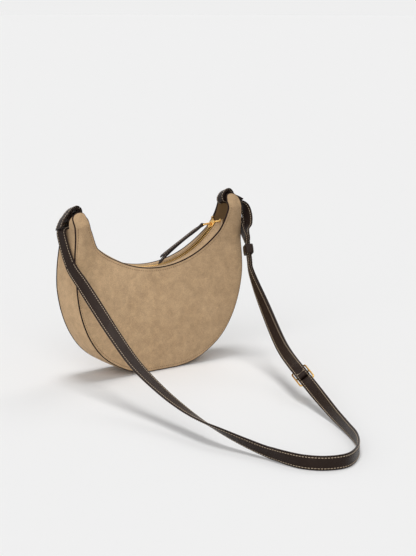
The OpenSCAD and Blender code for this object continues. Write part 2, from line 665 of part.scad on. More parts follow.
// leather pull folded round the far bar of the link: its two tails part towards their free ends
module zip_pull() {
    eye = link_wire_r + body_gap;
    neck = link_w - 2.8 * link_wire_r - body_gap * 2;
    fan = pull_l * 0.055;
    top_l = pull_l * 0.92;
    tail = [[0.42, 0.5], [0.6, 0.56], [0.75, 0.58], [0.9, 0.36], [1, 0]];
    lower = [for (t = tail) [t.x * pull_l, -t.y * fan]];
    function under_top(x) = -fan * x / top_l + ply_t;
    color(leather_c) at_pivot(pull_pivot, pull_angle) rotate([90, 0, 0]) {
        difference() {
            cylinder(r = eye + ply_t, h = neck, center = true);
            cylinder(r = eye, h = neck + over, center = true);
        }
        translate([0, 0, -neck / 2]) linear_extrude(height = neck)
            polygon([[eye + seam, -ply_t], [link_wire_r * 6, under_top(link_wire_r * 6) - 2 * ply_t],
                [link_wire_r * 6, under_top(link_wire_r * 6) + ply_t], [eye + seam, ply_t]]);
        translate([0, 0, -pull_w / 2]) linear_extrude(height = pull_w)
            polygon(concat([[link_wire_r * 5, under_top(link_wire_r * 5) - 2 * ply_t], [top_l, -fan - ply_t],
                [top_l, -fan]], [[pull_l * 0.44, under_top(pull_l * 0.44) - ply_t]],
                [for (p = lower) if (p.x > pull_l * 0.5) p],
                [for (i = [len(lower) - 1 : -1 : 1]) lower[i] + [0, ply_t]],
                [[link_wire_r * 5, under_top(link_wire_r * 5) + ply_t * 0.9]]));
    }
}

panel();  // front_panel
mirrored_back() panel();  // back_panel
gusset();
edge_trim();  // front_edge_trim
mirrored_back() edge_trim();  // back_edge_trim
facing();  // front_facing
mirrored_back() facing();  // back_facing
zip_tape();  // front_zip_tape
mirrored_back() zip_tape();  // back_zip_tape
teeth(0);  // front_zip_teeth
mirrored_back() teeth(0.5);  // back_zip_teeth
zip_stops();
panel_lining();  // front_lining
mirrored_back() panel_lining();  // back_lining
gusset_lining();
base_board();
mirrored_back() slip_pocket();
horn_web(-1);  // left_horn_web
horn_web(1);  // right_horn_web
strap_bar(-1);  // left_strap_bar
strap_bar(1);  // right_strap_bar
strap_loop(-1);  // left_strap_loop
strap_loop(1);  // right_strap_loop
zip_slider();
puller_link();
zip_pull();
long_strap();
short_strap();
sewn_end(-1, left_end_reach, left_end_shares);  // left_sewn_end
sewn_end(1, right_end_reach, right_end_shares);  // right_sewn_end
buckle_frame();
keeper();
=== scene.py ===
"""Looks of a half moon shoulder bag: suede shell, painted edges, curved zip, leather strap.

Every length is in metres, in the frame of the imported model: the bag stands on z = 0, its front
faces -Y, and the strap lies on the floor in front of it.
"""
import math

import bmesh
import bpy
import numpy as np
from bpy.props import FloatProperty, FloatVectorProperty, PointerProperty
from mathutils import Matrix


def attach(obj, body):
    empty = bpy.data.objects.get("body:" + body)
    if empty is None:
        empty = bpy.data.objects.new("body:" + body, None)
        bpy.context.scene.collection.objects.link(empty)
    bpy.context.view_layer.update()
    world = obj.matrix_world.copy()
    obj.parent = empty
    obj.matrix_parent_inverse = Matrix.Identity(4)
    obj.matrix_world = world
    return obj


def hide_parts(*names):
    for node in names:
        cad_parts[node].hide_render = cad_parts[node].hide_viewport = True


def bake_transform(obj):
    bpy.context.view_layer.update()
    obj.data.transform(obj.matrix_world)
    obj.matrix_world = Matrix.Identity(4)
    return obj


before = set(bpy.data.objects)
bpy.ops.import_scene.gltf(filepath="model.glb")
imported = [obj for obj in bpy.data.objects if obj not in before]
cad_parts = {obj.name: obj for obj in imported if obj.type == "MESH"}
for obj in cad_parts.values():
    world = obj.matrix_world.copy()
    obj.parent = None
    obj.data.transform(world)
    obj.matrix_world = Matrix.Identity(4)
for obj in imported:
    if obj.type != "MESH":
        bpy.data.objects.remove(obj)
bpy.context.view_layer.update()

bl_info = {
    "name": "Half Moon Suede Bag",
    "version": (1, 0, 0),
    "blender": (4, 5, 0),
    "location": "3D View > Sidebar > Half Moon Bag",
    "description": "Builds a half moon shoulder bag in suede with a curved zip and a leather strap",
    "category": "Object",
}

MM = 0.001

# Half outline of a panel, from the middle of the base to the outer shoulder of the horn, in
# shares of half the width and of the height.
OUTLINE_SHARES = [(0, 0), (0.16, 0), (0.37, 0.02), (0.56, 0.07), (0.73, 0.145), (0.86, 0.25),
                  (0.945, 0.37), (0.99, 0.495), (1, 0.62), (0.998, 0.74), (0.995, 0.86),
                  (1, 0.945)]
# Inner edge of the horn, in shares of the way from the end of the rim's arc to the shoulder.
HORN_SHARES = [(0.12, 0.15), (0.25, 0.36), (0.37, 0.6), (0.455, 0.85), (0.36, 1.08)]
# Rounded tips of the horns: how far they rise, as a share of the height, and how blunt they are.
# The back ones rise by a share of that, and lean outwards instead.
TIP_RISE_SHARE = 0.044
TIP_POWER = 2.4
BACK_TIP_SHARE = 0.25
BACK_TIP_OUT = 7 * MM
# Share of the horns' puff that the back takes: it is drawn in where the front stands out.
BACK_PUSH = -0.5
# How much of the puff also draws the rim towards the middle.
DRAWN_SHARE = 0.75
# Height at which the horns begin, as a share of the side band's.
HORN_FROM = 0.76
# Soft waves of the panels: radians per metre along X and along Z, start and height.
WAVES = [(31, 17, 0.7, 1), (-23, 44, 1.9, 0.7), (58, -37, 4.1, 0.5)]
# Furrow along the stitches of a panel, and the rounding of its edge.
FURROW_DEEP = 0.35 * MM
FURROW_AT = 3.6 * MM
FURROW_WIDE = 1.4 * MM
ROUND_OFF = 0.7 * MM
# Side band: how far it bellies out and is drawn in along its seams.
BAND_BELLY = 1.1 * MM
BAND_DRAW = 0.5 * MM
# Corners of the side band beside the strap: where they start under its end, how far below the
# horn tips they end in front and at the back, and how far they lean in at the top.
EAR_START = 2 * MM
EAR_END = (4 * MM, 11 * MM)
EAR_LEAN = 7 * MM
# The rim's arc, and the columns of the panels' grid along it and along each span beside it.
RIM_END_ANGLE = math.radians(44)
RIM_COLUMNS = 18
FINE = 4
STEPS = 3 * FINE

# Strap where it loops round the bar in a horn, in shares of the loop's width and height.
LOOP_SHARES = [(0, 0.68), (0.22, 0.88), (0.46, 1.03), (0.7, 1.08), (0.93, 0.97), (1.03, 0.7),
               (0.92, 0.45), (0.68, 0.32), (0.42, 0.24), (0.2, 0.1), (0, 0)]
RIGHT_LOOP_SHARES = [(0, 0.7), (0.18, 0.92), (0.38, 1.06), (0.6, 1.06), (0.83, 0.92), (0.98, 0.67),
                     (0.9, 0.43), (0.68, 0.32), (0.42, 0.24), (0.2, 0.1), (0, 0)]
# The strap's inner ply: it closes the gap between both runs, and is rolled round the bar; its
# further inner turn is dark leather that stands in for the shade inside the loop.
ROLL_AND_SHADE_FILL_SHARES = [(0.06, 0.57), (0.03, 0.42), (0.1, 0.31), (0.4, 0.36), (0.65, 0.44), (0.83, 0.54),
               (0.9, 0.7), (0.83, 0.87), (0.68, 0.95), (0.48, 0.9), (0.31, 0.78), (0.25, 0.63),
               (0.35, 0.48), (0.52, 0.47), (0.68, 0.57), (0.7, 0.7), (0.6, 0.8)]
# The strap's sewn ends outside the horns, in shares of each one's reach and the loop's height.
LEFT_END_SHARES = [(0, 0.68), (0.45, 0.47), (0.86, 0.19), (1.12, -0.08)]
RIGHT_END_SHARES = [(0, 0.7), (0.5, 0.53), (1, 0.35)]
# The steel bar's place, in shares of the loop's width and height, and its radius.
BAR_SHARES = (0.46, 0.62)
BAR_RADIUS = 2.2 * MM
# Slant of each loop on its bar, as rise per distance to the front, and how far it is raised.
ASKEW = {"left": (0.34, 0.2 * MM), "right": (0.4, -1.7 * MM)}

# Clearances between neighbouring pieces.
SEAM = 0.1 * MM
FIT = 0.15 * MM
BODY_GAP = 0.3 * MM
LINING_GAP = 0.5 * MM
PAIR_GAP = BODY_GAP * 1.4
# How far below the zip's arc the cloth of the horn webs starts.
WEB_DROP = 6.5 * MM

# Zip: a facing's inner edge and how far across it its stitches run, a spread row's end from the
# rim, a tooth's sizes and the slider's length.
FACING_EDGE = 6.2 * MM
STITCH_SHARE = 0.26
ROW_STOP = 3.6 * MM
TOOTH_PITCH = 2.5 * MM
TOOTH_HEAD = 0.6 * MM
TOOTH_LONG = 3 * MM
TOOTH_HIGH = 2.4 * MM
TOOTH_WIDE = 1.3 * MM
SLIDER_LONG = 12 * MM

# Buckle: length over the wire, the wire's thickness, the way from the middle to each end, the
# middle bar's radius, and how far the frame is bowed.
BUCKLE_LONG = 32 * MM
BUCKLE_WIRE = 2.2 * MM
BUCKLE_SIDE = (BUCKLE_LONG - BUCKLE_WIRE) / 2
BUCKLE_BAR = 1 * MM
BUCKLE_BOW = 1.1 * MM


# Sizes and colours

def length(name, description, default):
    """A size in metres that the panel shows."""
    return FloatProperty(name=name, description=description, default=default, min=0,
                         unit="LENGTH", precision=5)


def colour(name, description, default):
    """A colour that the panel shows."""
    return FloatVectorProperty(name=name, description=description, default=default, size=4,
                               min=0, max=1, subtype="COLOR")


class BAG_PG_shape(bpy.types.PropertyGroup):
    """Sizes of the shell, the mouth and the strap"""
    width: length("Width", "Width across the widest part of the bag", 0.26)
    height: length("Height", "Height of the horn tips above the floor", 0.222)
    base_depth: length("Base depth", "Depth along the outer seam at the base", 0.052)
    mouth_depth: length("Mouth depth", "Depth between the two rims", 0.034)
    swell: length("Swell", "How far a panel stands out at its middle", 0.0045)
    suede: length("Suede", "Thickness of the backed suede", 0.002)
    paint: length("Edge paint", "Thickness of the painted edge", 0.0008)
    cloth: length("Lining", "Thickness of the lining cloth", 0.0006)
    rim_low: length("Rim height", "Height of the lowest point of the rim", 0.135)
    rim_radius: length("Rim radius", "Radius of the arc of the rim", 0.14)
    zip_half_angle: FloatProperty(name="Zip half angle", subtype="ANGLE", unit="ROTATION",
                                  description="Angle from the middle of the zip to its end",
                                  default=math.radians(53.5))
    strap_width: length("Strap width", "Width of the leather strap", 0.016)
    strap_thick: length("Strap thickness", "Thickness of the leather strap", 0.0022)
    strap_reach: length("Strap reach", "How far the strap reaches to the front", 0.445)
    window: length("Side band height", "Height at which the side band ends", 0.201)
    lean: length("Left horn drop", "How much lower the left horn has sunk", 0.0055)
    horn_puff: length("Horn puff", "How far the strap loops push the horns out", 0.0065)
    wave: length("Panel wave", "Height of the soft waves in the panels", 0.0007)


class BAG_PG_stitching(bpy.types.PropertyGroup):
    """Sizes of the sewing thread and its stitches"""
    pitch: length("Pitch", "Distance from one stitch to the next", 0.0034)
    stitch: length("Stitch", "Length of one stitch on the surface", 0.0024)
    thread: length("Thread", "Thickness of the thread", 0.00075)
    suede_inset: length("Suede inset", "Distance of the stitches from a panel's edge", 0.0036)
    strap_inset: length("Strap inset", "Distance of the stitches from the strap's edge", 0.0023)


class BAG_PG_colours(bpy.types.PropertyGroup):
    """Colours of the materials"""
    suede: colour("Suede", "Main colour of the suede", (0.518, 0.35, 0.201, 1))
    suede_dark: colour("Suede, brushed", "Suede where the nap lies away", (0.36, 0.228, 0.118, 1))
    suede_light: colour("Suede, light", "Suede where the nap lies towards", (0.68, 0.482, 0.298, 1))
    paint: colour("Edge paint", "Painted cut edge", (0.016, 0.01, 0.009, 1))
    leather: colour("Leather", "Pebbled strap leather", (0.014, 0.0075, 0.0055, 1))
    leather_worn: colour("Leather, worn", "Leather on its high spots", (0.036, 0.021, 0.0155, 1))
    thread: colour("Thread", "Thread on the strap", (0.6, 0.47, 0.33, 1))
    suede_thread: colour("Suede thread", "Thread on the suede", (0.3, 0.18, 0.09, 1))
    lining: colour("Lining", "Lining cloth", (0.13, 0.076, 0.034, 1))
    tape: colour("Zip tape", "Woven zip tape", (0.25, 0.165, 0.09, 1))
    gold: colour("Gold", "Gold-coloured metal", (0.8, 0.5, 0.17, 1))
    steel: colour("Steel", "Dark steel of the bars", (0.14, 0.12, 0.11, 1))
    floor: colour("Floor", "Studio floor", (0.862, 0.862, 0.862, 1))


# Curves and grids

def lerp(a, b, t):
    """Between a and b, by the share t."""
    return a + (b - a) * t


def ease(t):
    """Smooth step from none to one, level at both ends."""
    return t * t * (3 - 2 * t)


def unit(v):
    """Vectors of length one in the same directions."""
    return v / np.maximum(np.linalg.norm(v, axis=-1, keepdims=True), 1e-12)


def spline(points, per_span):
    """Smooth curve through all points: each span is a centripetal Catmull-Rom piece, whose knots
    stand apart by the square root of the distance between the points' places."""
    p = np.asarray(points, float)
    p = np.vstack([2 * p[0] - p[1], p, 2 * p[-1] - p[-2]])
    gap = np.maximum(np.sqrt(np.linalg.norm(np.diff(p[:, :3], axis=0), axis=1)), 1e-6)
    t1 = gap[:-2, None, None]
    t2 = t1 + gap[1:-1, None, None]
    t3 = t2 + gap[2:, None, None]
    t = lerp(t1, t2, (np.arange(per_span) / per_span)[None, :, None])
    p0, p1, p2, p3 = (q[:, None, :] for q in (p[:-3], p[1:-2], p[2:-1], p[3:]))
    a1, a2 = lerp(p0, p1, t / t1), lerp(p1, p2, (t - t1) / (t2 - t1))
    a3 = lerp(p2, p3, (t - t2) / (t3 - t2))
    b1, b2 = lerp(a1, a2, t / t2), lerp(a2, a3, (t - t1) / (t3 - t1))
    curve = lerp(b1, b2, (t - t1) / (t2 - t1)).reshape(-1, p.shape[1])
    return np.vstack([curve, p[-2]])


def lengths(path):
    """Length of the path up to each of its points."""
    return np.concatenate([[0], np.cumsum(np.linalg.norm(np.diff(path[:, :3], axis=0), axis=1))])


def even(path, step):
    """The path's columns at equal steps of its length, as near to step as fits."""
    s = lengths(path)
    at = np.linspace(0, s[-1], max(2, int(round(s[-1] / step)) + 1))
    return np.stack([np.interp(at, s, column) for column in path.T], 1)


def slope(path):
    """Unit direction of the path at each point, from its neighbours."""
    return unit(np.gradient(path[:, :3], axis=0))


def quads(rows, cols, wrap_rows=False, wrap_cols=False):
    """Four-sided faces between neighbouring points of a grid, whose ends may be joined."""
    r = np.arange(rows if wrap_rows else rows - 1)[:, None]
    c = np.arange(cols if wrap_cols else cols - 1)[None, :]
    r2, c2 = (r + 1) % rows, (c + 1) % cols
    return np.stack([r * cols + c, r * cols + c2, r2 * cols + c2, r2 * cols + c],
                    -1).reshape(-1, 4)


def everywhere(vector, path):
    """The same direction at every point of a path."""
    return np.broadcast_to(np.array(vector, float), (len(path), 3))


def mirror_y(points):
    """The points on the other side of the bag's middle plane."""
    return points * np.array([1, -1, 1])


def both_sides(shell, form):
    """The front's form and the back's, which is worked out with its own puff and mirrored."""
    for side, push, turn in (("front", 1.0, lambda p: p), ("back", BACK_PUSH, mirror_y)):
        shell.push = push
        yield side, [turn(part) for part in form()]
    shell.push = 1.0


def settle(points, drop, window):
    """The left horn has sunk a little: points left of the saddle and above the belly go down,
    by a share that grows smoothly with height and with distance from the middle."""
    x, z = points[..., 0], points[..., 2]
    share = ease(np.clip((z - 0.5 * window) / (0.5 * window), 0, 1))
    share = share * ease(np.clip((-x - 0.055) / 0.05, 0, 1))
    moved = points.copy()
    moved[..., 2] -= drop * share
    return moved


class Shell:
    """The bag's forms as functions of two parameters, worked out from the sizes. push is the
    share of the horns' puff that the panel takes: the front's is one, and the back is pulled
    in."""

    def __init__(self, s):
        self.s = s
        self.half = s.width / 2
        self.push = 1.0
        outline = [(x * self.half, y * s.height) for x, y in OUTLINE_SHARES]
        self.outer = spline(outline, STEPS)
        self.outer[:, 1] = np.maximum(self.outer[:, 1], 0)
        self.rim_centre = s.rim_low + s.rim_radius
        start = np.array([s.rim_radius * math.sin(RIM_END_ANGLE),
                          self.rim_centre - s.rim_radius * math.cos(RIM_END_ANGLE)])
        horn = [start] + [start + (self.outer[-1] - start) * share for share in HORN_SHARES]
        angle = np.arange(RIM_COLUMNS * FINE) / (RIM_COLUMNS * FINE) * RIM_END_ANGLE
        arc = np.stack([s.rim_radius * np.sin(angle),
                        self.rim_centre - s.rim_radius * np.cos(angle)], 1)
        self.inner = np.vstack([arc, spline(horn, STEPS)])
        self.last = len(self.outer) - 1
        self.outward = self.normals(self.outer)
        self.upward = -self.normals(self.inner)
        self.zip_radius = s.rim_radius * 0.9
        self.zip_low = s.rim_low - 2 * MM
        self.zip_centre = self.zip_low + self.zip_radius
        self.zip_end = s.zip_half_angle + math.radians(2.6)
        self.mouth_in = s.mouth_depth / 2 - s.suede - SEAM
        self.loop_out = self.half - s.strap_thick * 0.35
        self.ply_z = s.window + BODY_GAP + s.strap_thick / 2
        self.loop_h = s.height + s.strap_thick - self.ply_z
        self.loop_w = self.loop_h * 0.86
        self.split_x = self.loop_out + BODY_GAP

    @staticmethod
    def normals(curve):
        """Unit normals to the right of a flat curve that starts level at its mirror line."""
        d = np.gradient(curve, axis=0)
        d[0] = (1, 0)
        d = unit(d)
        return np.stack([d[:, 1], -d[:, 0]], 1)

    def seam_y(self, z):
        """Half depth along the outer seam: the base's depth, easing to the mouth's above the
        middle of the height."""
        s = self.s
        share = ease(np.clip((z / s.height - 0.52) / 0.4, 0, 1))
        return lerp(s.base_depth, s.mouth_depth, share) / 2

    def puff(self, z):
        """How far a horn stands out from the mouth: it grows up the horn, pushed by the strap
        loop inside, and turns back over the loop at the tip."""
        s = self.s
        out = ease(np.clip((z - HORN_FROM * s.window) / (0.23 * s.window), 0, 1))
        back = ease(np.clip((z - 1.01 * s.window) / (s.height - 1.01 * s.window), 0, 1))
        return s.horn_puff * (out * self.push - 1.4 * back * max(self.push, 0))

    def puffed(self, x, y, z, share):
        """Moves a point of the front out by the puff, and towards the middle by a share of it,
        which is one along the rim and none along the outer seam."""
        puff = self.puff(z)
        tip = ease(np.clip((z - self.s.window) / (12 * MM), 0, 1)) * max(-self.push, 0)
        inward = (DRAWN_SHARE * self.drawn(puff) - BACK_TIP_OUT * tip) * share
        return x - np.sign(x) * inward, y - puff, z

    def drawn(self, puff):
        """The part of the puff that also draws the rim towards the middle."""
        return np.maximum(puff, 0) if self.push > 0 else puff

    def puff_beside(self, y, z):
        """The front's puff where y is negative, and the back's share of it elsewhere."""
        puff = self.puff(z)
        return np.where(y < 0, puff, BACK_PUSH * puff)

    def rim_z(self, x):
        """Height of the rim and of the horn's inner edge over x."""
        return np.interp(np.abs(x), self.inner[:, 0], self.inner[:, 1])

    def panel(self, column, v, inset=0.0, depth=0.0, dress=True):
        """Point of the front panel. column counts fine columns from the middle, negative to the
        left, and v runs from the rim to the outer seam. The place is on the straight line from
        the rim's point to the seam's point, drawn in by inset at both ends. The panel stands out
        from the mouth's half depth to the seam's, plus a swell that is a half sine across and
        fades towards the horns, plus soft waves, less a furrow along both rows of stitches."""
        s = self.s
        column, v = np.broadcast_arrays(np.asarray(column, float), np.asarray(v, float))
        k = np.clip(np.abs(column), 0, self.last)
        low = np.minimum(k.astype(int), self.last - 1)
        part = (k - low)[..., None]
        seam, rim, outward, upward = (lerp(table[low], table[low + 1], part) for table in (
            self.outer, self.inner, self.outward, self.upward))
        q = rim - inset * upward
        o = seam - inset * outward
        p = lerp(q, o, v[..., None])
        across = np.linalg.norm(o - q, axis=-1)
        end = np.clip((k - (self.last - FINE)) / FINE, 0, 1) ** 2
        rise = s.height * TIP_RISE_SHARE * (1 - np.abs(2 * v - 1) ** TIP_POWER) ** (1 / TIP_POWER)
        rise = rise * end * (1 if self.push > 0 else BACK_TIP_SHARE)
        crown = s.swell * np.sin(math.pi * v) * (1 - (k / self.last) ** 3)
        x = np.where(column < 0, -1, 1) * p[..., 0]
        z = p[..., 1] + rise
        y = lerp(s.mouth_depth / 2, self.seam_y(seam[..., 1]), ease(v)) + crown - depth
        if dress:
            wave = sum(high * np.sin(a * x + b * z + start) for a, b, start, high in WAVES)
            y = y + s.wave * wave * np.sin(math.pi * v)
            edge = np.minimum(v, 1 - v) * across
            y = y - FURROW_DEEP * np.exp(-((edge - FURROW_AT) / FURROW_WIDE) ** 2)
            corner = np.clip(1 - edge / ROUND_OFF, 0, 1)
            y = y - (1 - np.sqrt(1 - corner ** 2 * 0.999)) * ROUND_OFF
        return np.stack(self.puffed(x, -y, z, 1 - v), -1)

    def zip_spot(self, angle, y, lift, level=None):
        """Point of the cloth across the mouth: lift is its height over the zip's tape. It is
        level out to the given distance, by default the facing's inner edge, and slopes from there
        to the rim."""
        level = FACING_EDGE if level is None else level
        r = self.zip_radius - lift
        x = r * np.sin(angle)
        z = self.zip_centre - r * np.cos(angle)
        share = np.clip((y - level) / (self.mouth_in - level), 0, 1)
        z = lerp(z, self.rim_z(x) - 2 * MM + lift, share)
        wide = np.clip((y - FACING_EDGE) / (self.mouth_in - FACING_EDGE), 0, 1)
        puff = self.drawn(self.puff(z)) * wide
        return np.stack([x - np.sign(x) * DRAWN_SHARE * puff + 0 * y, -y - puff + 0 * x, z], -1)

    def row_y(self, angle):
        """Distance of a zip row from the middle: none where it is closed, growing past it."""
        share = (angle - self.s.zip_half_angle) / (self.zip_end - self.s.zip_half_angle)
        return (self.mouth_in - ROW_STOP) * ease(np.clip(share, 0, 1))

    def zip_row(self):
        """The front's row as a path, with the direction to the arc's centre: closed along the arc,
        then out to its end stop, where it is drawn along with the horn."""
        angle = np.linspace(-self.s.zip_half_angle, self.zip_end, 600)
        path, axes = self.on_arc(angle)
        row = self.row_y(angle)
        puff = self.drawn(self.puff(path[:, 2])) * row / row[-1]
        path[:, 0] -= DRAWN_SHARE * puff
        path[:, 1] -= row + puff
        return path, axes[:, 2]

    def on_arc(self, angle):
        """Origin and axes of a frame on the zip's arc: along it, across it, to its centre."""
        c, n = np.cos(angle), np.sin(angle)
        origin = np.stack([self.zip_radius * n, 0 * n, self.zip_centre - self.zip_radius * c], -1)
        axes = np.stack([np.stack([c, 0 * c, n], -1), np.stack([0 * c, 0 * c + 1, 0 * c], -1),
                         np.stack([-n, 0 * c, c], -1)], -2)
        return origin, axes


# Meshes

def make_piece(name, verts, faces, finish, body, replaces=(), uv=None, sharp=38):
    """A closed mesh object from points and faces, with its faces turned outwards by the sign of
    its volume."""
    mesh = bpy.data.meshes.new(name)
    verts = np.asarray(verts, float).reshape(-1, 3)
    mesh.from_pydata(verts.tolist(), [], [list(map(int, f)) for f in faces])
    if uv is not None:
        layer = mesh.uv_layers.new(name="UVMap")
        corner = np.empty(len(mesh.loops), np.int32)
        mesh.loops.foreach_get("vertex_index", corner)
        layer.data.foreach_set("uv", np.asarray(uv, np.float32).reshape(-1, 2)[corner].ravel())
    bm = bmesh.new()
    bm.from_mesh(mesh)
    if bm.calc_volume(signed=True) < 0:
        bmesh.ops.reverse_faces(bm, faces=bm.faces)
    bm.to_mesh(mesh)
    bm.free()
    mesh.update()
    mesh.shade_smooth()
    mesh.set_sharp_from_angle(angle=math.radians(sharp))
    piece = bpy.data.objects.new(name, mesh)
    bpy.context.scene.collection.objects.link(piece)
    piece.data.materials.append(material(finish))
    if body is not None:
        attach(piece, body)
    if replaces:
        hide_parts(*replaces)
    return piece


def shell_mesh(outer, inner):
    """Closed wall between two grids of the same shape: the outer rows, then the inner rows back,
    joined into a loop, and the two side edges closed by strips."""
    rows, cols = outer.shape[:2]
    loop = np.concatenate([outer, inner[::-1]])
    faces = [quads(2 * rows, cols, wrap_rows=True)]
    r = np.arange(rows - 1)
    for c, turn in ((0, 1), (cols - 1, -1)):
        a, b = r * cols + c, (r + 1) * cols + c
        far = (2 * rows - 1 - r) * cols + c
        strip = np.stack([a, b, far - cols, far], 1)
        faces.append(strip[:, ::turn])
    return loop.reshape(-1, 3), np.concatenate(faces)


def wall_piece(name, outer, inner, finish, node):
    """Closed wall between two grids, as a piece of the bag that stands for one solid."""
    points, faces = shell_mesh(sunk(outer), sunk(inner))
    make_piece(name, points, faces, finish, "bag", [node])


def sweep_mesh(path, across, facing, profile, width, thick, closed=False):
    """Profile carried along a path: each ring is the path's point plus the profile's first
    number times half the width along across, and its second times half the thickness along
    facing. Open ends are closed by a flat face."""
    n, m = len(path), len(profile)
    half_w = np.broadcast_to(np.asarray(width) / 2, (n,))[:, None, None]
    half_t = np.broadcast_to(np.asarray(thick) / 2, (n,))[:, None, None]
    rings = (path[:, None, :3] + across[:, None, :] * profile[None, :, :1] * half_w
             + facing[:, None, :] * profile[None, :, 1:] * half_t)
    faces = [list(f) for f in quads(n, m, wrap_rows=closed, wrap_cols=True)]
    if not closed:
        faces += [list(range(m))[::-1], [(n - 1) * m + j for j in range(m)]]
    run = lengths(path)
    girth = np.concatenate([[0], np.cumsum(np.linalg.norm(
        np.diff(profile * [np.mean(half_w), np.mean(half_t)], axis=0), axis=1))])
    uv = np.stack(np.broadcast_arrays(girth[None, :], run[:, None]), -1)
    return rings.reshape(-1, 3), faces, uv.reshape(-1, 2)


def repeat_mesh(template, faces, origins, axes):
    """One small closed form set at many places: its points times each place's axes, plus the
    place's origin."""
    points = origins[:, None, :] + np.einsum("pi,nij->npj", template, axes)
    count = np.arange(len(origins))[:, None, None] * len(template)
    return points.reshape(-1, 3), (faces[None] + count).reshape(-1, faces.shape[1])


def round_profile(points):
    """Circle of radius one."""
    a = np.arange(points) / points * 2 * math.pi
    return np.stack([np.cos(a), np.sin(a)], 1)


def strap_profile(width, thick, inset, dip=0.22, crown=0.16):
    """Cross-section of stitched leather, in shares of half the width and half the thickness: flat
    faces with a crown in the middle and a dip along each row of stitches, and rounded edges."""
    w, t = width / 2, thick / 2
    flat = w - t * 0.9
    groove = w - inset
    a = np.array([-flat, -groove - 0.55 * MM, -groove, -groove + 0.55 * MM, -groove * 0.5, 0,
                  groove * 0.5, groove - 0.55 * MM, groove, groove + 0.55 * MM, flat])
    b = 1 + crown * (1 - (a / w) ** 2) - crown * 0.5
    b = b - dip * np.exp(-((np.abs(a) - groove) / (0.5 * MM)) ** 2)
    b[[0, -1]] = 0.86
    turn = np.radians([38, 0, -38])
    side = np.stack([flat + (w - flat) * np.cos(turn), 0.86 * np.sin(turn)], 1)
    top = np.stack([a, b], 1)
    loop = np.concatenate([top, side, -top, -side])
    return loop / [w, 1]


def capsule(long, thick, high, sides=6):
    """Template of one stitch: a slim rounded grain along X that dips into the surface at both
    ends, each ring an ellipse."""
    at = np.array([-0.5, -0.42, -0.2, 0.2, 0.42, 0.5])
    size = np.array([0.35, 0.75, 1, 1, 0.75, 0.35])
    sink = np.array([-0.9, -0.25, 0.1, 0.1, -0.25, -0.9])
    a = np.arange(sides) / sides * 2 * math.pi
    ring = np.stack([0 * a, np.cos(a) * thick / 2, np.sin(a) * high / 2], 1)
    rings = ring[None] * size[:, None, None]
    rings[..., 0] += at[:, None] * long
    rings[..., 2] += sink[:, None] * high / 2
    body = quads(len(at), sides, wrap_cols=True)
    top = np.array([[0, 1, 2, 3], [0, 3, 4, 5]])
    last = top[:, ::-1] + (len(at) - 1) * sides
    return rings.reshape(-1, 3), np.concatenate([body[:, ::-1], top, last])


def stitch_run(path, facing, seams):
    """Frames of stitches at equal steps along a path on a surface."""
    run = lengths(path)[-1]
    count = max(1, int(run / seams.pitch))
    return frames_along(path, facing, (run - (count - 1) * seams.pitch) / 2
                        + np.arange(count) * seams.pitch)


def frames_along(path, facing, at):
    """Origins at the given lengths along a path on a surface, and their axes: along the path,
    across it and out of the surface."""
    run = lengths(path)
    origin, along, up = (np.stack([np.interp(at, run, v[:, k]) for k in range(3)], 1)
                         for v in (path, slope(path), facing))
    along = unit(along)
    up = unit(up - np.sum(up * along, 1, keepdims=True) * along)
    return origin, np.stack([along, np.cross(up, along), up], 1)


def stitches(name, runs, finish, body, seams):
    """All stitches of one seam as one mesh: a slim grain at every step."""
    template, faces = capsule(seams.stitch, seams.thread, seams.thread * 0.8)
    origins = np.concatenate([r[0] for r in runs])
    axes = np.concatenate([r[1] for r in runs])
    points, all_faces = repeat_mesh(template, faces, origins, axes)
    return make_piece(name, points, all_faces, finish, body, sharp=80)


# Materials

def plug(tree, node, inputs):
    """Gives a node its inputs, which are values or other nodes' outputs."""
    for key, value in inputs.items():
        if isinstance(value, bpy.types.NodeSocket):
            tree.links.new(value, node.inputs[key])
        else:
            node.inputs[key].default_value = value
    return node


def add(tree, kind, inputs, **settings):
    """A new node with its own settings and inputs."""
    made = tree.nodes.new(kind)
    for key, value in settings.items():
        setattr(made, key, value)
    return plug(tree, made, inputs)


def maths(tree, operation, a, b=0.0, clamp=False):
    """Result of one operation on two values."""
    return add(tree, "ShaderNodeMath", {0: a, 1: b}, operation=operation,
               use_clamp=clamp).outputs[0]


def weighed(tree, a, share_a, b, share_b):
    """Sum of two values, each times its own share."""
    return maths(tree, "ADD", maths(tree, "MULTIPLY", a, share_a),
                 maths(tree, "MULTIPLY", b, share_b))


def blended(tree, share, a, b, kind="MIX"):
    """Two colours mixed by a share."""
    return add(tree, "ShaderNodeMix", {0: share, 6: a, 7: b}, data_type="RGBA",
               blend_type=kind).outputs[2]


def spread(tree, value, low, high, to_low=0.0, to_high=1.0):
    """A value's range from low to high spread over another, and held at its ends."""
    return add(tree, "ShaderNodeMapRange", {0: value, 1: low, 2: high, 3: to_low, 4: to_high},
               clamp=True).outputs[0]


def noise(tree, vector, scale, detail=3.0, rough=0.55):
    """Cloudy noise between none and one."""
    return add(tree, "ShaderNodeTexNoise", {"Vector": vector, "Scale": scale, "Detail": detail,
                                            "Roughness": rough}).outputs[0]


def warped(tree, place, scale, reach):
    """The place moved by coloured noise, by up to the given reach."""
    noise_at = add(tree, "ShaderNodeTexNoise", {"Vector": place, "Scale": scale}).outputs[1]
    bent = add(tree, "ShaderNodeVectorMath", {0: noise_at, 3: reach}, operation="SCALE").outputs[0]
    return add(tree, "ShaderNodeVectorMath", {0: place, 1: bent}, operation="ADD").outputs[0]


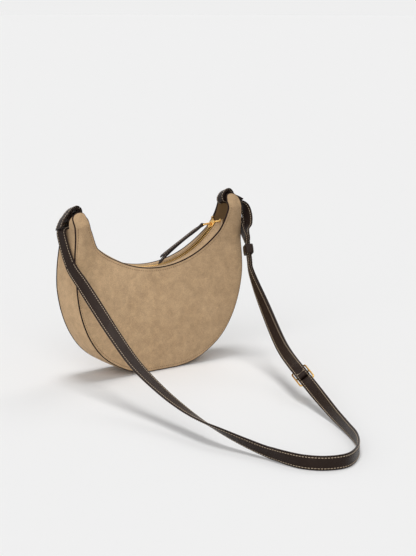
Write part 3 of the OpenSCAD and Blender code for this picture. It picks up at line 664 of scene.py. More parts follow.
def new_group(name, inputs, outputs):
    """An empty node group with named number or vector inputs and number or normal outputs."""
    tree = bpy.data.node_groups.new(name, "ShaderNodeTree")
    for label, kind, default in inputs:
        socket = tree.interface.new_socket(name=label, in_out="INPUT", socket_type=kind)
        if default is not None:
            socket.default_value = default
    for label, kind in outputs:
        tree.interface.new_socket(name=label, in_out="OUTPUT", socket_type=kind)
    return tree, tree.nodes.new("NodeGroupInput"), tree.nodes.new("NodeGroupOutput")


def group_mottle():
    """Soft cloudy patches of two sizes, as handling leaves on nap and leather."""
    tree, get, put = new_group("Handling patches", [
        ("Vector", "NodeSocketVector", None), ("Scale", "NodeSocketFloat", 20.0),
        ("Contrast", "NodeSocketFloat", 1.0)], [("Patches", "NodeSocketFloat")])
    wide = noise(tree, get.outputs[0], get.outputs[1], 4, 0.6)
    small = noise(tree, get.outputs[0], maths(tree, "MULTIPLY", get.outputs[1], 4.3), 4, 0.6)
    both = weighed(tree, wide, 0.62, small, 0.38)
    centred = maths(tree, "MULTIPLY", maths(tree, "SUBTRACT", both, 0.5), get.outputs[2])
    tree.links.new(maths(tree, "ADD", centred, 0.5, clamp=True), put.inputs[0])
    return tree


def group_nap():
    """Short fibres that lie in loose strokes: fine noise, and wider noise bent by a wide warp."""
    tree, get, put = new_group("Suede nap", [
        ("Vector", "NodeSocketVector", None), ("Scale", "NodeSocketFloat", 900.0)],
        [("Height", "NodeSocketFloat"), ("Strokes", "NodeSocketFloat")])
    drawn = warped(tree, get.outputs[0], 38.0, 12 * MM)
    fibre = noise(tree, get.outputs[0], get.outputs[1], 3, 0.7)
    strokes = noise(tree, drawn, maths(tree, "MULTIPLY", get.outputs[1], 0.12), 6, 0.66)
    tree.links.new(weighed(tree, fibre, 0.6, strokes, 0.4), put.inputs[0])
    tree.links.new(strokes, put.inputs[1])
    return tree


def group_pebble():
    """Pebbled grain: rounded cells with creases between them, plus fine pores."""
    tree, get, put = new_group("Pebbled grain", [
        ("Vector", "NodeSocketVector", None), ("Scale", "NodeSocketFloat", 800.0)],
        [("Height", "NodeSocketFloat"), ("Creases", "NodeSocketFloat")])
    place = warped(tree, get.outputs[0], 420.0, 1.2 * MM)
    cell = add(tree, "ShaderNodeTexVoronoi", {"Vector": place, "Scale": get.outputs[1]},
               feature="DISTANCE_TO_EDGE").outputs["Distance"]
    rounded = spread(tree, cell, 0.0, 0.28)
    pores = noise(tree, get.outputs[0], maths(tree, "MULTIPLY", get.outputs[1], 3.0), 2)
    tree.links.new(weighed(tree, rounded, 0.85, pores, 0.15), put.inputs[0])
    tree.links.new(maths(tree, "SUBTRACT", 1.0, rounded), put.inputs[1])
    return tree


def group_twill():
    """Diagonal twill: two crossing waves of threads, the one over the other in turn."""
    tree, get, put = new_group("Twill weave", [
        ("Vector", "NodeSocketVector", None), ("Scale", "NodeSocketFloat", 600.0)],
        [("Height", "NodeSocketFloat")])
    waves = []
    for turn, scale in ((0.78, get.outputs[1]),
                        (-0.78, maths(tree, "MULTIPLY", get.outputs[1], 0.5))):
        turned = add(tree, "ShaderNodeMapping", {0: get.outputs[0], 2: (0.5, 0.0, turn)})
        waves.append(add(tree, "ShaderNodeTexWave", {
            "Vector": turned.outputs[0], "Scale": scale, "Distortion": 0.6, "Detail": 1.0,
            "Detail Scale": 2.0}, wave_profile="SIN", bands_direction="X").outputs[1])
    tree.links.new(weighed(tree, waves[0], 0.65, waves[1], 0.35), put.inputs[0])
    return tree


GROUPS = {"mottle": group_mottle, "nap": group_nap, "pebble": group_pebble, "twill": group_twill}
made_groups = {}


def effect(tree, name, inputs):
    """A shared effect placed in a material with its own values."""
    if name not in made_groups:
        made_groups[name] = GROUPS[name]()
    return add(tree, "ShaderNodeGroup", inputs, node_tree=made_groups[name])


def handling(tree, place, scale, contrast):
    """Share of the lighter tone in the patches that handling leaves."""
    return effect(tree, "mottle", {"Vector": place, "Scale": scale,
                                   "Contrast": contrast}).outputs[0]


def toned(shade, factor):
    """A colour made lighter or darker."""
    return tuple(min(1, c * factor) for c in shade[:3]) + (1,)


def start_material(name):
    """A new material with its tree, its shader and the place on the object."""
    made = bpy.data.materials.new(name)
    made.use_nodes = True
    tree = made.node_tree
    shader = tree.nodes["Principled BSDF"]
    here = tree.nodes.new("ShaderNodeTexCoord").outputs["Object"]
    return made, tree, shader, here


def surface(tree, shader, base, rough, height, distance, strength, **plain):
    """Links colour, roughness and bump to the shader. Values that are the same all over the
    surface are set on the shader itself."""
    bump = add(tree, "ShaderNodeBump", {"Height": height, "Distance": distance,
                                        "Strength": strength})
    plug(tree, shader, {"Base Color": base, "Roughness": rough, "Normal": bump.outputs[0]})
    plug(tree, shader, {key.replace("_", " "): value for key, value in plain.items()})


# Painted light and shade on the suede: darker towards the right, the base and up the horns, lighter
# again at the horn tips. Columns: axis, from, to, and the tone at both.
PAINTED_LIGHT_AND_SHADE = [(0, -60 * MM, 130 * MM, 1.02, 0.83), (2, 0, 80 * MM, 0.92, 1),
           (2, 150 * MM, 190 * MM, 1, 0.8), (2, 196 * MM, 222 * MM, 1, 1.28)]


def suede_material(colours):
    """Napped suede: cloudy patches and short strokes between three shades, with painted shade
    towards the right, the base and the horns, painted light at the horn tips, and a soft sheen."""
    made, tree, shader, here = start_material("Sand suede")
    patches = handling(tree, here, 24.0, 1.2)
    nap = effect(tree, "nap", {"Vector": here, "Scale": 800.0})
    base = blended(tree, patches, tuple(colours.suede_dark), tuple(colours.suede_light))
    base = blended(tree, 0.45, base, tuple(colours.suede))
    tone = spread(tree, nap.outputs[1], 0.28, 0.72, 0.95, 1.05)
    fine = spread(tree, nap.outputs[0], 0.3, 0.7, 0.72, 1.26)
    shade = maths(tree, "MULTIPLY", tone, fine)
    split = add(tree, "ShaderNodeSeparateXYZ", {0: here}).outputs
    # Painted light and shade: the tone is multiplied by bands along the object's axes.
    for axis, *ends in PAINTED_LIGHT_AND_SHADE:
        shade = maths(tree, "MULTIPLY", shade, spread(tree, split[axis], *ends))
    grey = add(tree, "ShaderNodeCombineColor", {0: shade, 1: shade, 2: shade}).outputs[0]
    surface(tree, shader, blended(tree, 1.0, base, grey, "MULTIPLY"),
            spread(tree, patches, 0.2, 0.8, 0.98, 0.86), nap.outputs[0], 0.35 * MM, 0.6,
            Sheen_Weight=0.12, Sheen_Roughness=0.5, Sheen_Tint=(1.0, 0.85, 0.66, 1),
            Specular_IOR_Level=0.1)
    return made


def leather_material(colours):
    """Pebbled leather: dark creases between slightly worn cells, and an uneven polish."""
    made, tree, shader, here = start_material("Pebbled leather")
    grain = effect(tree, "pebble", {"Vector": here, "Scale": 950.0})
    patches = handling(tree, here, 45.0, 1.8)
    worn = maths(tree, "MULTIPLY", spread(tree, grain.outputs[0], 0.5, 1.0), patches)
    base = blended(tree, worn, tuple(colours.leather), tuple(colours.leather_worn))
    rough = maths(tree, "ADD", spread(tree, patches, 0.2, 0.8, 0.2, 0.32),
                  maths(tree, "MULTIPLY", grain.outputs[1], 0.15))
    surface(tree, shader, base, rough, grain.outputs[0], 0.22 * MM, 0.7,
            Specular_IOR_Level=0.16, Specular_Tint=(1.0, 0.86, 0.78, 1))
    return made


def paint_material(colours):
    """Brushed-on edge paint: smooth, slightly uneven film."""
    made, tree, shader, here = start_material("Edge paint")
    patches = handling(tree, here, 120.0, 2.0)
    base = blended(tree, patches, tuple(colours.paint), toned(colours.paint, 1.9))
    surface(tree, shader, base, spread(tree, patches, 0.2, 0.8, 0.6, 0.8),
            noise(tree, here, 500.0, 3), 0.15 * MM, 0.6, Specular_IOR_Level=0.03)
    return made


def thread_material(name, shade):
    """Twisted sewing thread: fine slanting plies in two tones."""
    made, tree, shader, here = start_material(name)
    ply = add(tree, "ShaderNodeTexWave", {"Vector": here, "Scale": 1500.0, "Distortion": 1.5},
              bands_direction="DIAGONAL").outputs[1]
    surface(tree, shader, blended(tree, ply, toned(shade, 0.62), tuple(shade)),
            spread(tree, ply, 0, 1, 0.75, 0.55), ply, 0.1 * MM, 0.6)
    return made


def cloth_material(name, shade, scale, sheen):
    """Woven cloth: twill threads, darker between them, in faint patches."""
    made, tree, shader, here = start_material(name)
    weave = effect(tree, "twill", {"Vector": here, "Scale": scale}).outputs[0]
    share = weighed(tree, weave, 0.7, handling(tree, here, 60.0, 1.2), 0.3)
    surface(tree, shader, blended(tree, share, toned(shade, 0.5), toned(shade, 1.25)),
            spread(tree, weave, 0, 1, 0.95, 0.8), weave, 0.2 * MM, 0.7,
            Sheen_Weight=sheen, Sheen_Roughness=0.5, Specular_IOR_Level=0.08)
    return made


def metal_material(name, shade, rough_low, rough_high, scratch):
    """Polished metal: faint hairlines and fingerprints in the gloss, tone uneven by a little."""
    made, tree, shader, here = start_material(name)
    patches = handling(tree, here, 160.0, 2.0)
    drawn_out = add(tree, "ShaderNodeMapping", {0: here, 2: (0.4, 0.2, 0.9), 3: (1.0, 14.0, 1.0)})
    lines = noise(tree, drawn_out.outputs[0], 900.0, 2)
    rough = spread(tree, maths(tree, "MULTIPLY", lines, patches), 0.1, 0.5, rough_low, rough_high)
    surface(tree, shader, blended(tree, patches, toned(shade, 0.82), tuple(shade)), rough,
            lines, scratch, 0.5, Metallic=1.0)
    return made


FINISHES = {
    "suede": suede_material,
    "leather": leather_material,
    "edge": paint_material,
    "lining": lambda c: cloth_material("Lining twill", c.lining, 420.0, 0.0),
    "tape": lambda c: cloth_material("Zip tape weave", c.tape, 1100.0, 0.03),
    "board": lambda c: cloth_material("Board cloth", toned(c.lining, 0.8), 420.0, 0.0),
    "gold": lambda c: metal_material("Gold metal", c.gold, 0.14, 0.3, 0.02 * MM),
    "steel": lambda c: metal_material("Steel", c.steel, 0.4, 0.6, 0.04 * MM),
    "thread": lambda c: thread_material("Pale thread", c.thread),
    "suede_thread": lambda c: thread_material("Sand thread", c.suede_thread),
}
made_materials = {}


def material(finish):
    """The finish's material, made when it is first asked for."""
    if finish not in made_materials:
        made_materials[finish] = FINISHES[finish](bpy.context.scene.bag_colours)
    return made_materials[finish]


def current():
    """The sizes, and the shell worked out from them."""
    shape = bpy.context.scene.bag_shape
    return shape, Shell(shape)


def sunk(points):
    """The points with the left horn's drop from the sizes."""
    shape = bpy.context.scene.bag_shape
    return settle(points, shape.lean, shape.window)


# Shell

def panel_rows():
    """Rows from the rim to the outer seam, closer together at both edges."""
    near = np.array([0, 0.003, 0.007, 0.012, 0.02, 0.032, 0.045, 0.06, 0.08, 0.11])
    middle = np.linspace(0.15, 0.85, 23)
    return np.concatenate([near, middle, 1 - near[::-1]])


class BAG_OT_suede_shell(bpy.types.Operator):
    """Build the two suede panels and the side band between them"""
    bl_idname = "bag.suede_shell"
    bl_label = "Suede Shell"

    def execute(self, context):
        s, shell = current()
        columns = np.arange(-shell.last, shell.last + 1)[None, :]
        rows = panel_rows()[:, None]
        thinnest = 0.9 * MM

        def walls():
            outer = shell.panel(columns, rows, s.paint)
            inner = shell.panel(columns, rows, s.paint, s.suede, dress=False)
            inner[..., 1] = np.maximum(inner[..., 1], outer[..., 1] + thinnest)
            return outer, inner

        for side, (outer, inner) in both_sides(shell, walls):
            wall_piece("suede_%s_panel" % side, outer, inner, "suede", side + "_panel")
        walls = [self.band(s, shell)]
        walls += [self.ear(s, shell, x_side, y_side, 0.3 * MM, s.suede * 0.6)
                  for x_side in (-1, 1) for y_side in (-1, 1)]
        points, faces = joined([shell_mesh(sunk(top), sunk(low)) for top, low in walls])
        make_piece("suede_side_band", points, faces, "suede", "bag", ["gusset"])
        return {"FINISHED"}

    @staticmethod
    def ear(s, shell, x_side, y_side, inset, thick):
        """Corner of the side band that runs up beside the strap: from the band's end nearly to
        the horn's tip, times a line from the strap's edge to the seam. The back horns are lower,
        so their ears end lower too."""
        up = np.linspace(0, 1, 16)[:, None]
        z = lerp(s.window - EAR_START, s.height - EAR_END[y_side > 0], up)
        lean = EAR_LEAN * np.clip((up - 0.45) / 0.55, 0, 1) ** 2
        x = np.interp(z, shell.outer[:, 1], shell.outer[:, 0]) - lean
        near = s.strap_width / 2 + 2 * BODY_GAP
        shell.push = 1.0 if y_side < 0 else BACK_PUSH
        far = shell.seam_y(z) + shell.puff(z) - s.suede - SEAM
        shell.push = 1.0
        y = lerp(near, far, np.linspace(0, 1, 9)[None, :])
        return [np.stack([x_side * (x - depth) + 0 * y, y_side * y, z + 0 * y], -1)
                for depth in (inset, inset + thick)]

    @staticmethod
    def band(s, shell):
        """Side band: the outline up to the band's end, times a line across from seam to seam. It
        bellies out between the seams as a parabola, and is drawn in along each of them."""
        half = shell.outer[shell.outer[:, 1] < s.window]
        above = shell.outer[len(half)]
        share = (s.window - half[-1, 1]) / (above[1] - half[-1, 1])
        half = np.vstack([half, lerp(half[-1], above, share)])
        out = shell.normals(half)
        path = np.vstack([half[:0:-1] * [-1, 1], half])
        out = np.vstack([out[:0:-1] * [-1, 1], out])
        t = np.sin(np.linspace(-math.pi / 2, math.pi / 2, 25))[:, None]
        y_max = shell.seam_y(path[:, 1]) - s.suede - SEAM + shell.puff_beside(t, path[:, 1])
        lift_off = ease(np.clip(path[:, 1] / (12 * MM), 0, 1))
        wave = s.wave * 0.8 * np.sin(path[:, 1] * 70 + path[:, 0] * 25)
        belly = ((BAND_BELLY + wave) * (1 - t ** 2) - BAND_DRAW * np.abs(t) ** 12) * lift_off
        return [np.stack([path[:, 0] + further * out[:, 0], t * y_max,
                          path[:, 1] + further * out[:, 1]], -1)
                for further in (belly, -s.suede + 0 * belly)]


class BAG_OT_painted_edges(bpy.types.Operator):
    """Run the painted edge all round each panel"""
    bl_idname = "bag.painted_edges"
    bl_label = "Painted Edges"

    def execute(self, context):
        s, shell = current()
        columns = np.arange(-shell.last, shell.last + 1)
        tip = 0.5 - 0.5 * np.cos(np.linspace(0, math.pi, 41))
        a = np.linspace(-math.pi / 2, math.pi / 2, 9)
        bead = np.stack([np.cos(a), np.sin(a)], 1)
        profile = np.vstack([bead * [1, 0.5] + [0, 0.5], [[-0.35, 0.97], [-0.35, 0.03]]])
        deep, forward = s.suede + 0.8 * MM, 0.15 * MM

        def bead_rings():
            left = shell.panel(-shell.last, tip, s.paint, dress=False)
            right = shell.panel(shell.last, tip[::-1], s.paint, dress=False)
            outer = shell.panel(columns[1:-1], 1.0, s.paint, dress=False)
            inner = shell.panel(columns[-2:0:-1], 0.0, s.paint, dress=False)
            path = np.vstack([left, outer, right, inner])
            path = even(np.vstack([path, path[:1]]), 1.1 * MM)[:-1]
            around = np.roll(path, -1, 0) - np.roll(path, 1, 0)
            d = unit(around[:, [0, 2]])
            out = np.stack([d[:, 1], 0 * d[:, 0], -d[:, 0]], 1)
            rings = path[:, None, :] + out[:, None, :] * profile[None, :, :1] * s.paint
            rings[..., 1] += profile[None, :, 1] * deep - forward
            rings[..., 2] = np.maximum(rings[..., 2], 0)
            return [rings]

        for side, (rings,) in both_sides(shell, bead_rings):
            faces = quads(len(rings), len(profile), wrap_rows=True, wrap_cols=True)
            make_piece("painted_edge_" + side, sunk(rings), faces, "edge", "bag",
                       [side + "_edge_trim"], sharp=60)
        return {"FINISHED"}


class BAG_OT_mouth(bpy.types.Operator):
    """Build the suede facings and the woven zip tapes across the mouth"""
    bl_idname = "bag.mouth"
    bl_label = "Mouth"

    def execute(self, context):
        s, shell = current()
        beside_row, low, tape_half = 4.9 * MM, 0.4 * MM, 0.3 * MM
        angle = np.linspace(-s.zip_half_angle, shell.zip_end - math.radians(0.3), 170)[None, :]
        level = np.clip(shell.row_y(angle) + beside_row, FACING_EDGE, shell.mouth_in - 0.8 * MM)
        t = np.array([0, 0.02, 0.05, 0.1, 0.2, 0.3, 0.45, 0.6, 0.75, 0.9, 1])[:, None]
        y = lerp(level, shell.mouth_in, t)
        roll = 0.8 * MM * np.sqrt(np.clip(1 - (1 - np.clip(t / 0.1, 0, 1)) ** 2, 0, 1))
        furrow = 0.3 * MM * np.exp(-((t - STITCH_SHARE) / 0.08) ** 2)
        tape_angle = np.linspace(-s.zip_half_angle, shell.zip_end, 170)[None, :]
        row = shell.row_y(tape_angle)
        edge = np.minimum(shell.mouth_in - 1.8 * MM, row + 2.4 * MM)
        flat = np.clip(row + beside_row, FACING_EDGE, shell.mouth_in - 0.6 * MM)
        side_y = np.maximum(9.2 * MM, np.minimum(shell.mouth_in - SEAM, flat + 0.6 * MM))
        u = np.linspace(0, 1, 7)[:, None]
        tape_y = np.vstack([lerp(edge, flat, u), lerp(flat, side_y, u[1:])])

        def cloths():
            return (shell.zip_spot(angle, y, low + 0.35 * MM + roll - furrow, level),
                    shell.zip_spot(angle, y, low + 0 * y, level),
                    shell.zip_spot(tape_angle, tape_y, tape_half, flat),
                    shell.zip_spot(tape_angle, tape_y, -tape_half, flat))

        for side, (top, under, tape_top, tape_low) in both_sides(shell, cloths):
            wall_piece("suede_facing_" + side, top, under, "suede", side + "_facing")
            wall_piece("zip_tape_weave_" + side, tape_top, tape_low, "tape", side + "_zip_tape")
        return {"FINISHED"}


# Zip

def slab_mesh(outline, low, high, soft):
    """Rounded slab: rings of a flat outline drawn in along its normals, up a quarter circle at
    both rims, with a fan over the top and the bottom."""
    d = unit(np.roll(outline, -1, 0) - np.roll(outline, 1, 0))
    out = np.stack([d[:, 1], -d[:, 0]], 1)
    a = np.linspace(0, math.pi / 2, 5)
    inset = soft * (1 - np.sin(a))
    up = soft * (1 - np.cos(a))
    insets = np.concatenate([inset, inset[::-1]])
    heights = np.concatenate([low + up, high - up[::-1]])
    n = len(outline)
    rings = outline[None] - insets[:, None, None] * out[None]
    rings = np.concatenate([rings, np.broadcast_to(heights[:, None, None],
                                                   rings.shape[:2] + (1,))], -1)
    middle = np.append(outline.mean(0), low), np.append(outline.mean(0), high)
    verts = np.vstack([rings.reshape(-1, 3), *middle])
    count = len(insets)
    faces = [list(f) for f in quads(count, n, wrap_cols=True)]
    j = np.arange(n)
    low_id, high_id = count * n, count * n + 1
    faces += [[low_id, (k + 1) % n, k] for k in j]
    faces += [[high_id, (count - 1) * n + k, (count - 1) * n + (k + 1) % n] for k in j]
    return verts, faces


def joined(parts):
    """Several point and face lists as one."""
    verts, faces, start = [], [], 0
    for v, f in parts:
        verts.append(np.asarray(v, float).reshape(-1, 3))
        faces += [[int(k) + start for k in face] for face in f]
        start += len(verts[-1])
    return np.vstack(verts), faces


def tube_mesh(path, radius, closed=False, points=14):
    """Round wire along a path; an open one gets domed ends."""
    path = np.asarray(path, float)
    along = slope(np.vstack([path[-1:], path, path[:1]]))[1:-1] if closed else slope(path)
    side = unit(np.cross(along, [0.31, 0.17, 0.93]))
    for i in range(1, len(side)):
        side[i] = unit(side[i - 1] - along[i] * (side[i - 1] @ along[i]))
    up = np.cross(along, side)
    size = np.full(len(path), 2.0 * radius)
    if not closed:
        a = np.linspace(0, math.pi / 2, 5)[:-1]
        cap = radius * (1 - np.sin(a)) * 0.6
        path = np.vstack([path[0] + along[:1] * cap[:, None], path[1:-1],
                          path[-1] - along[-1:] * cap[::-1, None]])
        widen = 2 * radius * np.maximum(np.cos(a[::-1]), 0.15)
        size = np.concatenate([widen, size[1:-1], widen[::-1]])
        side, up = (np.vstack([np.repeat(v[:1], 4, 0), v[1:-1], np.repeat(v[-1:], 4, 0)])
                    for v in (side, up))
    verts, faces, _ = sweep_mesh(path, side, up, round_profile(points), size, size, closed)
    return verts, faces


def rounded_rectangle(long, wide, corner, points):
    """Closed flat path: four quarter circles joined by straight sides."""
    a = np.linspace(0, math.pi / 2, points)
    arc = np.stack([np.cos(a), np.sin(a)], 1) * corner
    parts = []
    for k in range(4):
        c, n = round(math.cos(k * math.pi / 2)), round(math.sin(k * math.pi / 2))
        turned = arc @ np.array([[c, n], [-n, c]])
        centre = np.array([(1 if k in (0, 3) else -1) * (long / 2 - corner),
                           (1 if k < 2 else -1) * (wide / 2 - corner)])
        parts.append(turned + centre)
    return np.vstack(parts)


class BAG_OT_zip_chain(bpy.types.Operator):
    """Set the metal teeth of both rows and the end stops"""
    bl_idname = "bag.zip_chain"
    bl_label = "Zip Chain"

    def execute(self, context):
        _, shell = current()
        template, faces = self.tooth()

        def teeth():
            path, up = shell.zip_row()
            first = 1.0 if shell.push > 0 else 1.5
            at = np.arange(first, lengths(path)[-1] / TOOTH_PITCH - 1.2) * TOOTH_PITCH
            return [repeat_mesh(template, faces, *frames_along(path, up, at))[0]]

        for side, (points,) in both_sides(shell, teeth):
            starts = np.arange(0, len(points), len(template))[:, None, None]
            make_piece("zip_teeth_row_" + side, sunk(points), (faces[None] + starts).reshape(-1, 4),
                       "gold", "bag", [side + "_zip_teeth"], sharp=25)
        self.stops(shell)
        return {"FINISHED"}

    @staticmethod
    def tooth():
        """One tooth: a flat outline with a narrow head, times four steps across it, of which the
        first and the last are smaller."""
        head, heel, bevel = TOOTH_HEAD, TOOTH_HEAD + TOOTH_LONG, 0.3 * MM
        nose, half = TOOTH_HIGH * 0.3, TOOTH_HIGH / 2
        outline = np.array([(head, -nose), (head + nose, -half), (heel - bevel, -half),
                            (heel, -nose), (heel, nose), (heel - bevel, half),
                            (head + nose, half), (head, nose)])
        centre = outline.mean(0)
        steps = np.array([(-0.5, 0.72), (-0.36, 1), (0.36, 1), (0.5, 0.72)])
        rings = centre + (outline - centre)[None] * steps[:, 1, None, None]
        template = np.stack([np.broadcast_to(steps[:, :1] * TOOTH_WIDE, rings.shape[:2]),
                             -rings[..., 0], rings[..., 1]], -1).reshape(-1, 3)
        cap = np.array([[0, 1, 2, 3], [0, 3, 4, 7], [4, 5, 6, 7]])
        faces = [quads(4, len(outline), wrap_cols=True), cap, cap[:, ::-1] + 3 * len(outline)]
        return template, np.concatenate(faces)

    @staticmethod
    def stops(shell):
        """Rounded bridge over both rows at the closed end, and a crimp at each spread end."""
        slab, faces = slab_mesh(rounded_rectangle(1, 1, 0.2, 4), -0.4 * MM, 1.7 * MM, 0.0)
        beside = -0.6 * (TOOTH_HEAD + TOOTH_LONG / 2)

        def at_row(run, wide, across, y):
            path, up = shell.zip_row()
            origin, axes = frames_along(path, up, np.array([run % lengths(path)[-1]]))
            return [origin[0] + (slab * [wide, across, 1] + [0, y, 0]) @ axes[0]]

        parts = at_row(0.2 * TOOTH_PITCH, 3.5 * MM, 7.2 * MM, 0)
        for _, crimp in both_sides(
                shell, lambda: at_row(-0.55 * TOOTH_PITCH, 2.3 * MM, 3.2 * MM, beside)):
            parts += crimp
        verts, faces = joined([(part, faces) for part in parts])
        make_piece("zip_end_stops", sunk(verts), faces, "gold", "bag", ["zip_stops"])


class ZipPull:
    """Places of the slider, the link and the pull, in the plane through the zip's middle. The
    pull hangs down from the link until its tip lies on the zip, which gives its angle by the law
    of cosines."""

    def __init__(self, s, shell):
        self.angle = s.zip_half_angle - SLIDER_LONG / shell.zip_radius / 2 - math.radians(0.3)
        self.channel = 1.5 * MM
        self.plate = 1.3 * MM
        self.wire = 0.8 * MM
        self.hole = self.wire + BODY_GAP
        self.crown_z = self.channel + self.plate + self.hole
        r = shell.zip_radius - self.crown_z
        self.link_at = np.array([r * math.sin(self.angle),
                                 shell.zip_centre - r * math.cos(self.angle)])
        self.link_long = 13 * MM
        self.drop = math.radians(3)
        self.pull_at = self.link_at - self.link_long * np.array([math.cos(self.drop),
                                                                 math.sin(self.drop)])
        self.pull_long = 84 * MM
        self.ply = 1.2 * MM
        rest = shell.zip_radius - 1.2 * MM - BODY_GAP
        to_centre = np.array([0, shell.zip_centre]) - self.pull_at
        reach = math.hypot(self.pull_long, self.ply)
        d = float(np.linalg.norm(to_centre))
        lie = math.acos((d ** 2 + reach ** 2 - rest ** 2) / (2 * d * reach))
        self.pull_angle = (math.atan2(to_centre[1], to_centre[0]) + lie
                           - math.atan(self.ply / self.pull_long))

    @staticmethod
    def placed(points, at, angle):
        """Local X along the angle in the middle plane, local Y square to it, local Z across."""
        c, n = math.cos(angle), math.sin(angle)
        p = np.asarray(points, float)
        return np.stack([at[0] + p[..., 0] * c - p[..., 1] * n, p[..., 2],
                         at[1] + p[..., 0] * n + p[..., 1] * c], -1)


class BAG_OT_zip_slider(bpy.types.Operator):
    """Build the slider, its metal link and the folded leather pull"""
    bl_idname = "bag.zip_slider"
    bl_label = "Zip Slider and Pull"

    def execute(self, context):
        s, shell = current()
        zip_pull = ZipPull(s, shell)
        self.slider(shell, zip_pull)
        self.link(zip_pull)
        self.pull(zip_pull, context.scene.bag_stitching)
        return {"FINISHED"}

    @staticmethod
    def slider(shell, z):
        """Two rounded plates with a heart-shaped nose, side walls, a post, and a ring on top."""
        long, wide, sunk_in = SLIDER_LONG, 9.4 * MM, 0.3 * MM
        x, y = round_profile(48).T
        taper = 0.5 + 0.5 * np.tanh(2.6 * (x + 0.35))
        outline = np.stack([long / 2 * np.sign(x) * np.abs(x) ** 0.72,
                            wide / 2 * np.sign(y) * np.abs(y) ** 0.62 * (0.62 + 0.38 * taper)], 1)
        parts = [slab_mesh(outline, z.channel, z.channel + z.plate, 0.5 * MM),
                 slab_mesh(outline, -z.channel - z.plate, -z.channel, 0.5 * MM)]
        wall = rounded_rectangle(long * 0.72, 0.8 * MM, 0.3 * MM, 4)
        for side in (-1, 1):
            for low, high in ((z.channel - 0.9 * MM, z.channel + sunk_in),
                              (-z.channel - sunk_in, -z.channel + 0.9 * MM)):
                at = wall + [long * 0.1, side * (wide / 2 - 0.45 * MM)]
                parts.append(slab_mesh(at, low, high, 0.25 * MM))
        post = rounded_rectangle(3.4 * MM, 0.9 * MM, 0.4 * MM, 4) + [long * 0.33, 0]
        parts.append(slab_mesh(post, -z.channel - sunk_in, z.channel + sunk_in, 0.1 * MM))
        ring = np.insert(round_profile(40), 1, 0, 1)
        ring_wall, ring_wide = 1 * MM, 2.6 * MM
        square = np.array([(0.72, 1), (1, 0.6), (1, -0.6), (0.72, -1), (-0.72, -1), (-1, -0.6),
                           (-1, 0.6), (-0.72, 1)])
        verts, faces, _ = sweep_mesh(ring * (z.hole + ring_wall / 2) + [0, 0, z.crown_z],
                                     everywhere((0, 1, 0), ring), ring, square, ring_wide,
                                     ring_wall, closed=True)
        parts.append((verts, faces))
        foot = rounded_rectangle(4.4 * MM, 2.6 * MM, 0.8 * MM, 5)
        parts.append(slab_mesh(foot, z.channel + z.plate - sunk_in, z.crown_z - z.hole, 0.2 * MM))
        verts, faces = joined(parts)
        origin, axes = shell.on_arc(np.array([z.angle]))
        make_piece("slider_body", origin[0] + verts @ axes[0], faces, "gold", "zip_slider",
                   ["zip_slider"], sharp=50)

    @staticmethod
    def link(z):
        """Closed oblong wire ring from the slider's crown to the leather pull."""
        wide = 7 * MM
        path = rounded_rectangle(z.link_long, wide - 2 * z.wire, 2.2 * MM, 9)
        path = np.stack([path[:, 0] + z.link_long / 2, 0 * path[:, 0], path[:, 1]], 1)
        verts, faces = tube_mesh(path, z.wire, closed=True)
        make_piece("link_ring", z.placed(verts, z.link_at, math.pi + z.drop), faces, "gold",
                   "puller_link", ["puller_link"], sharp=60)

    @staticmethod
    def pull(z, seams):
        """Leather strip folded round the link: a path in the middle plane, from one tail's tip
        round the bar to the other's, with a crowned section that narrows at the fold and comes
        to a point at both tips."""
        long, ply, wide, tip_long = z.pull_long, z.ply, 6.5 * MM, 5 * MM
        top_long, fan, bar_x = long * 0.92, long * 0.055, 5 * MM
        upper = [(top_long, -fan - ply / 2), (top_long * 0.75, -fan * 0.85 - ply * 0.45),
                 (top_long * 0.45, -fan * 0.56 - ply * 0.42),
                 (top_long * 0.2, -fan * 0.3 - ply / 2), (bar_x, -ply * 0.85)]
        eye = z.wire + BODY_GAP + ply / 2
        fold = [(eye * math.cos(a), eye * math.sin(a))
                for a in np.radians([-115, -150, 180, 150, 115])]
        lower = [(bar_x, ply * 0.5), (top_long * 0.2, -fan * 0.2 + ply * 0.55)]
        lower += [(long * share, -fan * hang + ply / 2) for share, hang in (
            (0.42, 0.5), (0.6, 0.56), (0.75, 0.54), (0.9, 0.34), (1, 0))]
        path = even(spline(upper + fold + lower, 10), 0.8 * MM)
        flat = np.column_stack([path, 0 * path[:, 0]])
        along = slope(flat)
        across = everywhere((0, 0, 1), flat)
        facing = np.cross(along, across)
        width = lerp(4.1 * MM, wide, ease(np.clip((path[:, 0] - 3 * MM) / (9 * MM), 0, 1)))
        run = lengths(flat)
        to_tip = np.minimum(run, run[-1] - run)
        width = width * np.clip(0.25 + to_tip / tip_long, 0, 1)
        profile = strap_profile(wide, ply, 1.1 * MM, dip=0.1, crown=0.3)
        verts, faces, uv = sweep_mesh(flat, across, facing, profile, width, ply * 0.96)
        make_piece("pull_leather", z.placed(verts, z.pull_at, z.pull_angle), faces, "leather",
                   "zip_pull", ["zip_pull"], uv=uv)
        rows = []
        keep = (path[:, 0] > 9 * MM) & (to_tip > tip_long)
        for side in (1, -1):
            row = flat + facing * side * ply * 0.5
            for part in np.split(np.arange(len(path)), np.flatnonzero(np.diff(keep)) + 1):
                if keep[part[0]] and len(part) > 8:
                    at, axes = stitch_run(row[part], facing[part] * side, seams)
                    rows.append((z.placed(at, z.pull_at, z.pull_angle),
                                 z.placed(axes, (0, 0), z.pull_angle)))
        stitches("pull_stitches", rows, "thread", "zip_pull", seams)


# Strap

def spot(shell, xs, ys, zs, heading, lift):
    """Place on the strap's route in shares of half the width, the reach and the side band's
    height, with the direction that the outer face looks in."""
    s = shell.s
    return [xs * shell.half, -ys * s.strap_reach, zs * s.window, heading, lift, 0.0]


def ground(shell, xs, ys, heading, lift=0.0):
    """Place on the route where the strap stands on its edge on the floor."""
    s = shell.s
    return [xs * shell.half, -ys * s.strap_reach, s.strap_width / 2, heading, lift, 0.0]


